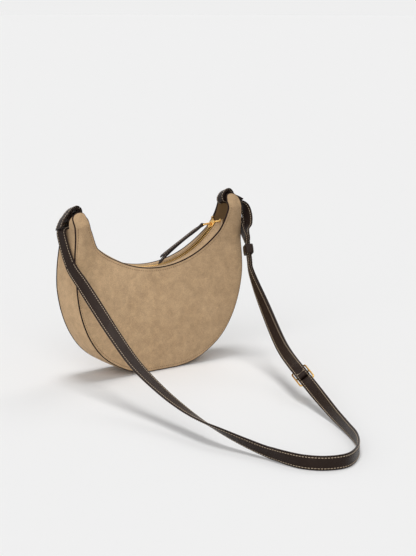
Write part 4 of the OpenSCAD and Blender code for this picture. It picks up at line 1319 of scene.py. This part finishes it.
def face_dir(route):
    """Direction of the strap's outer face from its heading and its lift over level."""
    heading, lift = np.radians(route[..., 3]), np.radians(route[..., 4])
    return np.stack([np.cos(heading) * np.cos(lift), np.sin(heading) * np.cos(lift),
                     np.sin(lift)], -1)


class StrapRoute:
    """The strap's centre line from horn to horn, with the turn of its face along the way."""

    def __init__(self, shell):
        self.shell = shell
        s = shell.s
        t = s.strap_thick
        self.bend = t * 2.3
        self.ply_shift = (t + PAIR_GAP) / 2
        self.beside_wire = BUCKLE_WIRE / 2 + BODY_GAP * 2 + t / 2
        self.right_reach = shell.loop_h * 0.69
        self.buckle_at = np.array(spot(shell, 0.446, 0.53, 0.15, 356, -50))
        self.buckle_dir = unit(np.array([0.311, 0.926, 0.212]))
        self.keeper_at = np.array(spot(shell, 0.965, 0.0966, 0.746, 332, 0))
        self.keeper_dir = unit(np.array([0.129, 0.364, 0.922]))
        self.buckle_face = self.square_to(self.buckle_at, self.buckle_dir)
        self.buckle_side = np.cross(self.buckle_face, self.buckle_dir)
        self.keeper_face = self.square_to(self.keeper_at, self.keeper_dir)
        self.keeper_side = np.cross(self.keeper_face, self.keeper_dir)

    @staticmethod
    def square_to(route, d):
        """The face's direction at a place, made square to the path's direction."""
        f = face_dir(route)
        return unit(f - np.sum(f * d, -1, keepdims=True) * d)

    @staticmethod
    def moved(place, shift):
        """The place with its position shifted and its face as it was."""
        place = np.array(place, float)
        place[:3] += shift
        return place

    def shifted(self, place, distance):
        """The place moved out of the strap's face."""
        return self.moved(place, face_dir(np.array(place, float)) * distance)

    def by_buckle(self, along, out, fold=0.0):
        """Place along the buckle and out of its face. Fold is one on the bend round its bar."""
        p = self.moved(self.buckle_at, self.buckle_dir * along + self.buckle_face * out)
        p[5] = fold
        return p

    def in_horn(self, side, end_shares, loop_shares, reach):
        """The strap's sewn end and its loop round the bar, in the plane across the bag: each
        point's face is square to the path."""
        sh = self.shell
        end = [(sh.split_x + x * reach, sh.ply_z + y * sh.loop_h) for x, y in end_shares[:0:-1]]
        loop = [(sh.loop_out - x * sh.loop_w, sh.ply_z + y * sh.loop_h) for x, y in loop_shares]
        path = np.array(end + loop)
        d = unit(np.gradient(path, axis=0))
        d[-1] = (1, 0)
        lift = np.unwrap(np.arctan2(d[:, 0], -d[:, 1])[::-1])[::-1]
        lift = np.degrees(lift - lift[-1]) + 90
        if side < 0:
            lift = lift[-1] - lift - 90
        heading = np.full(len(path), 180.0 if side < 0 else 360.0)
        return np.column_stack([side * path[:, 0], 0 * lift, path[:, 1], heading, lift, 0 * lift])

    def left(self):
        """From the left sewn end down to the floor, round in front of the bag and up again."""
        sh, r = self.shell, self.bend
        run = [
            [-sh.split_x - r * 0.75, 0, sh.ply_z - r * 0.22, 184, -120, 0],
            [-sh.split_x - r * 1.2, 0, sh.ply_z - r, 191, -165, 0],
            [-sh.split_x - r * 1.2, -r * 0.5, sh.ply_z - r * 2.8, 196, -180, 0]]
        run += [spot(sh, *p) for p in (
            (-1.036, 0.045, 0.77, 199, -168), (-1.034, 0.104, 0.67, 200, -148),
            (-1.03, 0.167, 0.563, 200, -127), (-1.026, 0.256, 0.423, 199, -108),
            (-1.019, 0.355, 0.287, 197, -99), (-1.01, 0.463, 0.193, 194, -88),
            (-1.006, 0.566, 0.134, 191, -78), (-1.002, 0.65, 0.105, 189, -62),
            (-0.972, 0.715, 0.085, 191, -42), (-0.918, 0.775, 0.06, 195, -29))]
        run += [ground(sh, *p) for p in (
            (-0.86, 0.85, 195, -18), (-0.83, 0.905, 197, -8), (-0.78, 0.948, 213),
            (-0.66, 0.985, 238), (-0.477, 1, 270), (-0.27, 0.97, 306), (-0.077, 0.91, 323),
            (0.062, 0.836, 337))]
        run += [spot(sh, 0.185, 0.748, 0.055, 342, -12), spot(sh, 0.3, 0.655, 0.09, 348, -32)]
        return run

    def pair(self):
        """Between the buckle and the keeper, where two plies run together."""
        sh = self.shell
        return [spot(sh, 0.66, 0.365, 0.235, 353, -42), spot(sh, 0.815, 0.24, 0.395, 350, -26)]

    def by_keeper(self):
        """Points through the keeper; over it both plies begin to turn."""
        points = [self.moved(self.keeper_at, self.keeper_dir * k * 13 * MM)
                  for k in (-2.2, -1.2, -0.2, 0.7, 1)]
        points[-1][3] += 12
        return points

    def long_route(self):
        """The left loop and sewn end, the run on the floor, the way under the buckle's middle
        bar, and the outer ply up through the keeper to the right sewn end."""
        sh, t = self.shell, self.shell.s.strap_thick
        under = BUCKLE_BAR + 2 * FIT + t * 1.5
        through = [self.by_buckle(BUCKLE_SIDE * along, out) for along, out in (
            (-1.7, 0), (-1, -self.beside_wire), (-0.5, under * 0.22), (0, under),
            (0.5, under * 0.22), (1, -self.beside_wire), (1.8, 0))]
        tail = [self.shifted(p, self.ply_shift) for p in self.pair() + self.by_keeper()]
        end = [spot(sh, *p) for p in (
            (1.062, 0.055, 0.85, 362, 0), (1.105, 0.042, 0.895, 380, 0),
            (1.132, 0.028, 0.945, 388, 4), (1.136, 0.014, 0.995, 378, 14))]
        end += [[sh.split_x + self.right_reach * out, 0, sh.ply_z + sh.loop_h * up, 360, lift, 0]
                for out, up, lift in ((0.95, 0.16, 42), (0.62, 0.33, 62), (0.25, 0.47, 63))]
        left_reach = self.bend * 1.2 + t + BODY_GAP
        horn = self.in_horn(-1, LEFT_END_SHARES, LOOP_SHARES, left_reach)
        return np.array(list(horn) + self.left() + through + tail + end)

    def short_route(self):
        """The right loop and sewn end, the inner ply down through the keeper, and the fold round
        the buckle's middle bar."""
        sh, t, r = self.shell, self.shell.s.strap_thick, self.bend
        horn = self.in_horn(1, RIGHT_END_SHARES, RIGHT_LOOP_SHARES, self.right_reach)
        start = [[sh.split_x + r * 0.75, 0, sh.ply_z - r * 0.22, 360, 60, 0],
                 [sh.split_x + r * 1.2, 0, sh.ply_z - r, 360, 15, 0],
                 spot(sh, 1.042, 0.018, 0.925, 358, 0), spot(sh, 1.01, 0.058, 0.836, 345, 0)]
        down = [self.shifted(p, -self.ply_shift) for p in (self.pair() + self.by_keeper())[::-1]]
        upper = -self.beside_wire - t - PAIR_GAP
        fold_r = BUCKLE_BAR + FIT + t / 2
        fold = [self.by_buckle(BUCKLE_SIDE * along, upper * share)
                for along, share in ((1.8, 0.62), (1, 1), (0.45, 0.72))]
        fold += [self.by_buckle(-fold_r * math.sin(a), -fold_r * math.cos(a), 1.0)
                 for a in np.radians(np.arange(0, 181, 30))]
        return np.array(list(horn) + start + down + fold)

    def ribbon(self, route):
        """Even points along the route, and the direction across the strap at each. Its face
        follows the route's, and where it folds round the buckle's bar, the path instead. No
        part goes below the floor."""
        s = self.shell.s
        path = even(spline(route, 14), 1.3 * MM)
        along = slope(path)
        folded = unit(np.cross(along, self.buckle_side))
        share = np.maximum.accumulate(np.clip(path[:, 5:6], 0, 1))
        face = unit(lerp(self.square_to(path, along), folded, ease(share)))
        across = unit(np.cross(face, along))
        low = (np.abs(across[:, 2]) * s.strap_width + np.abs(face[:, 2]) * s.strap_thick) / 2
        path[:, 2] = np.maximum(path[:, 2], low)
        return path[:, :3], across


class BAG_OT_strap(bpy.types.Operator):
    """Build the leather strap: its loops in the horns, both runs and their topstitching"""
    bl_idname = "bag.strap"
    bl_label = "Strap"

    def execute(self, context):
        s, shell = current()
        routes = StrapRoute(shell)
        for name, side, sign, route in (("long", "left", -1, routes.long_route()),
                                        ("short", "right", 1, routes.short_route())):
            path, across = routes.ribbon(route)
            highest = np.argmax(path[:60, 2])
            slant = self.askew(shell, side, path, across, highest)
            path = sunk(path + slant[0])
            across = unit(across + slant[1])
            course = np.stack([path, across, unit(np.cross(slope(path), across))])
            beyond = np.flatnonzero(path[:, 2] < HORN_FROM * s.window)[0]
            horn = self.strip("horn_" + side, course[:, :beyond + 1], None,
                              [side + "_strap_loop", side + "_sewn_end"])
            for piece in horn:
                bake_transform(piece)
            self.roll(shell, side, sign)
            self.strip(name, course[:, beyond:], "strap", [name + "_strap"])
        return {"FINISHED"}

    @staticmethod
    def strip(label, course, body, nodes):
        """A stretch of the strap and its stitches: along both edges of both faces, and across the
        sewn end where the stretch is given no body."""
        s, seams = bpy.context.scene.bag_shape, bpy.context.scene.bag_stitching
        path, across, face = course
        profile = strap_profile(s.strap_width, s.strap_thick, seams.strap_inset)
        verts, faces, uv = sweep_mesh(path, across, face, profile, s.strap_width, s.strap_thick)
        leather = make_piece("strap_" + label, verts, faces, "leather", body, nodes, uv=uv)
        half, out = s.strap_width / 2 - seams.strap_inset, s.strap_thick / 2
        runs = [stitch_run(path + across * edge * half + face * side * out, face * side, seams)
                for edge in (-1, 1) for side in (-1, 1)]
        if body is None:
            k = np.full(12, np.searchsorted(lengths(path), 2.6 * MM))
            line = across[k] * np.linspace(-half, half, len(k))[:, None]
            runs.append(stitch_run(path[k] + face[k] * out + line, face[k], seams))
        return leather, stitches("strap_" + label + "_stitches", runs, "thread", body, seams)

    @staticmethod
    def askew(shell, side, path, across, held=0):
        """Both loops hang askew on their bars, with the front edge higher: the shift of each
        point, and of the direction across. The share grows with the height over the lower run,
        and is one up to the point that is held."""
        slant, lift = ASKEW[side]
        share = ease(np.clip((path[:, 2] - shell.ply_z) / (9 * MM), 0, 1))
        share[:held] = 1
        up = np.array([0.0, 0.0, 1.0])
        return (np.outer(share * (lift - slant * path[:, 1]), up),
                np.outer(-share * slant * across[:, 1], up))

    @staticmethod
    def roll(shell, side, sign):
        """The strap's inner ply, rolled round the bar inside the loop, in the plane across the bag.
        Its further inner turn is dark leather that stands in for the shade inside the loop."""
        s = shell.s
        path = even(spline([(shell.loop_out - x * shell.loop_w, 0, shell.ply_z + z * shell.loop_h)
                            for x, z in ROLL_AND_SHADE_FILL_SHARES], 8), 0.7 * MM)
        across = everywhere((0, 1, 0), path)
        out = unit(np.cross(slope(path), across))
        profile = strap_profile(s.strap_width, s.strap_thick, 2.3 * MM)
        verts, faces, uv = sweep_mesh(path, across, out, profile, s.strap_width * 0.96,
                                      s.strap_thick * 0.85)
        verts = verts + BAG_OT_strap.askew(shell, side, verts, across[:1])[0]
        # Partly the real inner ply, partly dark leather standing in for the shade inside the loop.
        make_piece("strap_roll_shade_fill_" + side, sunk(verts * [sign, 1, 1]), faces, "leather", "bag",
                   uv=uv)


class BAG_OT_strap_fittings(bpy.types.Operator):
    """Build the buckle's wire frame and the leather keeper"""
    bl_idname = "bag.strap_fittings"
    bl_label = "Buckle and Keeper"

    def execute(self, context):
        s, shell = current()
        r = StrapRoute(shell)
        inner = s.strap_width + 4 * FIT + 1.2 * MM
        path = rounded_rectangle(2 * BUCKLE_SIDE, inner + BUCKLE_WIRE, 2.4 * MM, 8)
        path = even(np.vstack([path, path[:1]]), 0.7 * MM)[:-1]
        axes = np.stack([r.buckle_dir, r.buckle_side, r.buckle_face])
        loop = np.column_stack([path, BUCKLE_BOW * ((path[:, 0] / BUCKLE_SIDE) ** 2 - 1)])
        half = (inner + BUCKLE_WIRE * 0.6) / 2
        bar_y = np.linspace(-half, half, 21)
        bar = np.column_stack([0 * bar_y, bar_y, -BUCKLE_BOW * (bar_y / half) ** 10])
        verts, faces = joined([tube_mesh(loop, BUCKLE_WIRE / 2, closed=True, points=18),
                               tube_mesh(bar, BUCKLE_BAR)])
        make_piece("buckle_wire", r.buckle_at[:3] + verts @ axes, faces, "gold", "strap",
                   ["buckle_frame"], sharp=60)
        self.keeper(s, r)
        return {"FINISHED"}

    @staticmethod
    def keeper(s, r):
        """Leather band round both plies: a soft-edged strip section carried round a rounded
        rectangle. It hangs a little below its place in the model."""
        wall, long, sag = 2 * MM, 12.4 * MM, 1.5 * MM
        tall = 2 * s.strap_thick + PAIR_GAP + 2.6 * MM + wall
        wide = s.strap_width + 2 * BODY_GAP + wall
        path = rounded_rectangle(tall, wide, 2.6 * MM, 7)
        loop = np.column_stack([0 * path[:, 0], path[:, 1], path[:, 0]])
        around = unit(np.roll(loop, -1, 0) - np.roll(loop, 1, 0))
        along = everywhere((1, 0, 0), loop)
        out = np.cross(around, along)
        out = out * np.sign(np.sum(out * loop))
        profile = strap_profile(long, wall, 1.6 * MM)
        verts, faces, uv = sweep_mesh(loop, along, out, profile, long, wall, closed=True)
        axes = np.stack([r.keeper_dir, r.keeper_side, r.keeper_face])
        centre = r.keeper_at[:3] - sag * r.keeper_dir
        make_piece("keeper_band", centre + verts @ axes, faces, "leather", "keeper", ["keeper"],
                   uv=uv)


# Lining and stitching

class BAG_OT_lining(bpy.types.Operator):
    """Build the lining cloth, the slip pocket, the horn webs and the strap bars"""
    bl_idname = "bag.lining"
    bl_label = "Lining"

    def execute(self, context):
        s, shell = current()
        columns = np.arange(-shell.last + 2 * FINE, shell.last - 2 * FINE + 1)[None, :]
        inset = s.paint + s.suede + 2 * SEAM + s.cloth
        rows = np.linspace(0, 1, 24)[:, None]
        slack = 0.25 * MM * np.sin(math.pi * rows) * (1 + np.sin(columns * 0.21))
        deep = s.suede + LINING_GAP + slack

        def walls():
            return [shell.panel(columns, rows, inset, deep + more, dress=False)
                    for more in (0, s.cloth)]

        for side, (outer, inner) in both_sides(shell, walls):
            wall_piece("cloth_%s_lining" % side, outer, inner, "lining", side + "_lining")
        self.band_lining(s, shell)
        self.pocket(s)
        for side, label in ((-1, "left"), (1, "right")):
            self.web(s, shell, side, label)
            self.bar(shell, side, label)
        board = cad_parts["base_board"]
        board.data.materials.clear()
        board.data.materials.append(material("board"))
        return {"FINISHED"}

    @staticmethod
    def band_lining(s, shell):
        """Lining of the side band: its middle line drawn in, times a line across."""
        top = BAG_OT_suede_shell.band(s, shell)[0][:, FINE:-FINE]
        across = shell.seam_y(top[:1, :, 2]) - s.suede - 2 * SEAM - s.cloth
        path = top[len(top) // 2]
        d = unit(np.gradient(path[:, [0, 2]], axis=0))
        out = np.stack([d[:, 1], -d[:, 0]], 1)
        gap = s.suede + SEAM + 1.2 * MM
        t = np.linspace(-1, 1, 9)[:, None]
        outer, inner = (np.stack([path[:, 0] - inset * out[:, 0] + 0 * t, t * across,
                                  path[:, 2] - inset * out[:, 1] + 0 * t], -1)
                        for inset in (gap, gap + s.cloth))
        wall_piece("cloth_side_lining", outer, inner, "lining", "gusset_lining")

    @staticmethod
    def pocket(s):
        """Slip pocket on the back lining, its upper edge slack in the middle."""
        width, top, low = s.width * 0.46, s.rim_low * 0.78, s.rim_low * 0.3
        j, i = np.meshgrid(np.linspace(0, 1, 16), np.linspace(0, 1, 24), indexing="ij")
        z = lerp(top, low, j)
        v = np.clip((s.rim_low - z) / s.rim_low, 0, 1)
        slack = np.sin(math.pi * i) * (1 - j)
        wall = s.cloth + s.suede + LINING_GAP
        y = (lerp(s.mouth_depth / 2, s.base_depth / 2, ease(v))
             + s.swell * np.sin(math.pi * v) * 0.9 - wall - SEAM * 4 - s.cloth * slack)
        points, faces = shell_mesh(*(np.stack([lerp(-width / 2, width / 2, i), y - depth, z], -1)
                                     for depth in (0.5 * MM, 0.5 * MM + s.cloth)))
        make_piece("cloth_slip_pocket", points, faces, "lining", "bag", ["slip_pocket"])

    @staticmethod
    def web(s, shell, side, label):
        """Cloth from the end of the zip up to the side band, sagging a little between them."""
        under = shell.zip_radius + WEB_DROP
        low = [(under * math.sin(a), shell.zip_centre - under * math.cos(a))
               for a in (s.zip_half_angle - math.radians(4), s.zip_half_angle + math.radians(1))]
        high = np.array([shell.loop_out - 0.68 * shell.loop_w,
                         shell.ply_z + 0.32 * shell.loop_h - s.strap_thick])
        path = even(spline(low + [lerp(np.array(low[1]), high, f) + [f * (1 - f) * 4 * MM, 0]
                                  for f in (0.35, 0.7)] + [high], 8), 1.5 * MM)
        d = slope(np.column_stack([path, 0 * path[:, 0]]))
        u = np.linspace(-1, 1, 18)[:, None]
        half = shell.mouth_in - s.cloth - LINING_GAP + shell.puff_beside(u, path[:, 1])
        sag = 0.8 * MM * np.sin(math.pi * np.linspace(0, 1, len(path)))[None, :] * (1 - u ** 2)
        walls = [[np.stack([side * (path[:, 0] - lift * d[:, 1]), u * half,
                            path[:, 1] + lift * d[:, 0]], -1)
                  for lift in (s.cloth - sag, -sag)]]
        walls += [BAG_OT_suede_shell.ear(s, shell, side, y_side, s.suede, s.cloth)
                  for y_side in (-1, 1)]
        points, faces = joined([shell_mesh(sunk(top), sunk(low)) for top, low in walls])
        make_piece("cloth_horn_web_" + label, points, faces, "lining", "bag",
                   [label + "_horn_web"])

    @staticmethod
    def bar(shell, side, label):
        """Steel bar that the strap's loop hangs on, with domed ends."""
        x = side * (shell.loop_out - BAR_SHARES[0] * shell.loop_w)
        z = shell.ply_z + BAR_SHARES[1] * shell.loop_h
        puff = float(shell.puff(np.array(z)))
        y = np.linspace(-shell.mouth_in - puff, shell.mouth_in + BACK_PUSH * puff, 12)
        path = np.column_stack([0 * y + x, y, 0 * y + z])
        verts, faces = tube_mesh(path, BAR_RADIUS, points=24)
        make_piece("steel_bar_" + label, sunk(verts), faces, "steel", "bag",
                   [label + "_strap_bar"])


class BAG_OT_stitching(bpy.types.Operator):
    """Sew the seams of the suede: round each panel and along the facings"""
    bl_idname = "bag.stitching"
    bl_label = "Suede Stitching"

    def execute(self, context):
        s, shell = current()
        seams = context.scene.bag_stitching
        columns = np.arange(-shell.last + FINE, shell.last - FINE + 1)
        inside = s.zip_half_angle - 0.02
        angle = np.linspace(-inside, inside, 200)
        y = lerp(FACING_EDGE, shell.mouth_in, STITCH_SHARE) + 0 * angle

        def rows():
            rim, seam = shell.panel(columns, 0.0), shell.panel(columns, 1.0)
            share = seams.suede_inset / np.linalg.norm(seam - rim, axis=-1)
            for v in (1 - share, share):
                line = shell.panel(columns, v, s.paint)
                beside = shell.panel(columns, v + 0.01, s.paint)
                normal = unit(np.cross(slope(line), beside - line))
                normal = normal * -np.sign(normal[:, 1:2])
                yield line + normal * 0.12 * MM
                yield normal
            line = shell.zip_spot(angle, y, 1.35 * MM)
            yield line
            yield unit(shell.zip_spot(angle, y, 3 * MM) - line)

        for side, made in both_sides(shell, rows):
            runs = [stitch_run(sunk(line), normal, seams)
                    for line, normal in zip(made[::2], made[1::2])]
            stitches("suede_stitches_" + side, runs, "suede_thread", "bag", seams)
        return {"FINISHED"}


# Stage

CAMERA_AZIMUTH = math.radians(-36.79)
CAMERA_RISE = math.radians(11.59)
CAMERA_ROLL = math.radians(0.271)
CAMERA_DISTANCE = 1.70366
CAMERA_TARGET = (0, 0, 0.1)
CAMERA_SHIFT = (0.072946, 0.017253)
FRAME_HEIGHT = 556
FOCAL_PIXELS = 1300
SENSOR = 36
FAR = 400
WORLD_LIGHT = 0.29
BACKDROP = 0.863
FLOOR_HALF = 150.0
FLOOR_DROP = 0.2 * MM
# Lamps: name, direction towards it, strength and angle across in degrees.
LAMPS = [("Overhead", (-0.06, 0.02, 1.0), 1.35, 20),
         ("Back right", (0.55, 0.28, 0.78), 0.3, 25),
         ("Front fill", (-0.8, -0.85, 0.6), 1.5, 60)]


class BAG_OT_stage(bpy.types.Operator):
    """Set up the camera, the lamps, the pale floor and the plain backdrop"""
    bl_idname = "bag.stage"
    bl_label = "Stage"

    def execute(self, context):
        scene = context.scene
        scene.view_settings.view_transform = "Standard"
        self.camera(scene)
        self.lamps(scene)
        self.world(scene)
        self.floor(scene)
        return {"FINISHED"}

    @staticmethod
    def camera(scene):
        """Camera behind its target along the view direction: azimuth, rise and a small roll."""
        az, el, roll = CAMERA_AZIMUTH, CAMERA_RISE, CAMERA_ROLL
        back = np.array([math.sin(az) * math.cos(el), -math.cos(az) * math.cos(el), math.sin(el)])
        level = np.array([math.cos(az), math.sin(az), 0])
        over = np.cross(level, -back)
        right = level * math.cos(roll) + over * math.sin(roll)
        up = -level * math.sin(roll) + over * math.cos(roll)
        target = np.array(CAMERA_TARGET) + right * CAMERA_SHIFT[0] + up * CAMERA_SHIFT[1]
        data = bpy.data.cameras.new("Camera")
        data.sensor_width = SENSOR
        data.lens = FOCAL_PIXELS * SENSOR / FRAME_HEIGHT
        data.clip_end = FAR
        camera = bpy.data.objects.new("Camera", data)
        turn = np.eye(4)
        turn[:3, 0], turn[:3, 1], turn[:3, 2] = right, up, back
        turn[:3, 3] = target + back * CAMERA_DISTANCE
        camera.matrix_world = Matrix(turn.tolist())
        scene.collection.objects.link(camera)
        scene.camera = camera

    @staticmethod
    def lamps(scene):
        """A wide soft light almost overhead, a low one from the back right, and a fill from the
        front left."""
        for name, toward, strength, angle in LAMPS:
            data = bpy.data.lights.new(name, "SUN")
            data.energy = strength
            data.angle = math.radians(angle)
            lamp = bpy.data.objects.new(name, data)
            z = unit(np.array(toward, float))
            x = unit(np.cross([0, 1, 0], z))
            turn = np.eye(4)
            turn[:3, 0], turn[:3, 1], turn[:3, 2] = x, np.cross(z, x), z
            lamp.matrix_world = Matrix(turn.tolist())
            scene.collection.objects.link(lamp)

    @staticmethod
    def world(scene):
        """Plain light all round; camera, glossy and transmitted rays see the backdrop's tone."""
        world = bpy.data.worlds.new("Studio")
        scene.world = world
        world.use_nodes = True
        tree = world.node_tree
        tree.nodes.clear()
        seen = BAG_OT_stage.seen_rays(tree)
        light = add(tree, "ShaderNodeBackground", {0: (1, 1, 1, 1), 1: WORLD_LIGHT}).outputs[0]
        tone = add(tree, "ShaderNodeBackground", {0: (1, 1, 1, 1), 1: BACKDROP}).outputs[0]
        both = add(tree, "ShaderNodeMixShader", {0: seen, 1: light, 2: tone}).outputs[0]
        add(tree, "ShaderNodeOutputWorld", {0: both})

    @staticmethod
    def seen_rays(tree):
        """One for the rays that see the backdrop's tone, and none for the others."""
        path = tree.nodes.new("ShaderNodeLightPath").outputs
        seen = maths(tree, "MAXIMUM", path["Is Camera Ray"], path["Is Glossy Ray"])
        return maths(tree, "MAXIMUM", seen, path["Is Transmission Ray"])

    @staticmethod
    def floor(scene):
        """Large level floor, whose lit tone is the backdrop's and which keeps the shadows."""
        mesh = bpy.data.meshes.new("studio_floor")
        corners = [(x * FLOOR_HALF, y * FLOOR_HALF, 0)
                   for x, y in ((-1, -1), (1, -1), (1, 1), (-1, 1))]
        mesh.from_pydata(corners, [], [(0, 1, 2, 3)])
        floor = bpy.data.objects.new("studio_floor", mesh)
        floor.location.z = -FLOOR_DROP
        scene.collection.objects.link(floor)
        made = bpy.data.materials.new("Studio floor")
        made.use_nodes = True
        tree = made.node_tree
        tree.nodes.clear()
        shade = tuple(scene.bag_colours.floor)
        plain = add(tree, "ShaderNodeBsdfDiffuse", {0: shade}).outputs[0]
        add(tree, "ShaderNodeOutputMaterial", {0: plain})
        mesh.materials.append(made)


# Panel and registration

STEPS_IN_ORDER = (
    BAG_OT_stage, BAG_OT_suede_shell, BAG_OT_painted_edges, BAG_OT_mouth, BAG_OT_zip_chain,
    BAG_OT_zip_slider, BAG_OT_lining, BAG_OT_strap, BAG_OT_strap_fittings, BAG_OT_stitching)


class BAG_PT_panel(bpy.types.Panel):
    """Sizes, colours and building steps of the bag"""
    bl_idname = "BAG_PT_panel"
    bl_label = "Half Moon Bag"
    bl_space_type = "VIEW_3D"
    bl_region_type = "UI"
    bl_category = "Half Moon Bag"

    def draw(self, context):
        scene = context.scene
        for group in (scene.bag_shape, scene.bag_stitching, scene.bag_colours):
            box = self.layout.box()
            for key in group.__annotations__:
                box.prop(group, key)
        for step in STEPS_IN_ORDER:
            self.layout.operator(step.bl_idname)


CLASSES = (BAG_PG_shape, BAG_PG_stitching, BAG_PG_colours, *STEPS_IN_ORDER, BAG_PT_panel)


def register():
    for cls in CLASSES:
        bpy.utils.register_class(cls)
    bpy.types.Scene.bag_shape = PointerProperty(type=BAG_PG_shape)
    bpy.types.Scene.bag_stitching = PointerProperty(type=BAG_PG_stitching)
    bpy.types.Scene.bag_colours = PointerProperty(type=BAG_PG_colours)


def unregister():
    del bpy.types.Scene.bag_colours
    del bpy.types.Scene.bag_stitching
    del bpy.types.Scene.bag_shape
    for cls in reversed(CLASSES):
        bpy.utils.unregister_class(cls)


def main():
    """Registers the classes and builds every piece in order."""
    register()
    for step in STEPS_IN_ORDER:
        group, name = step.bl_idname.split(".")
        getattr(getattr(bpy.ops, group), name)()


if __name__ == "__main__":
    main()
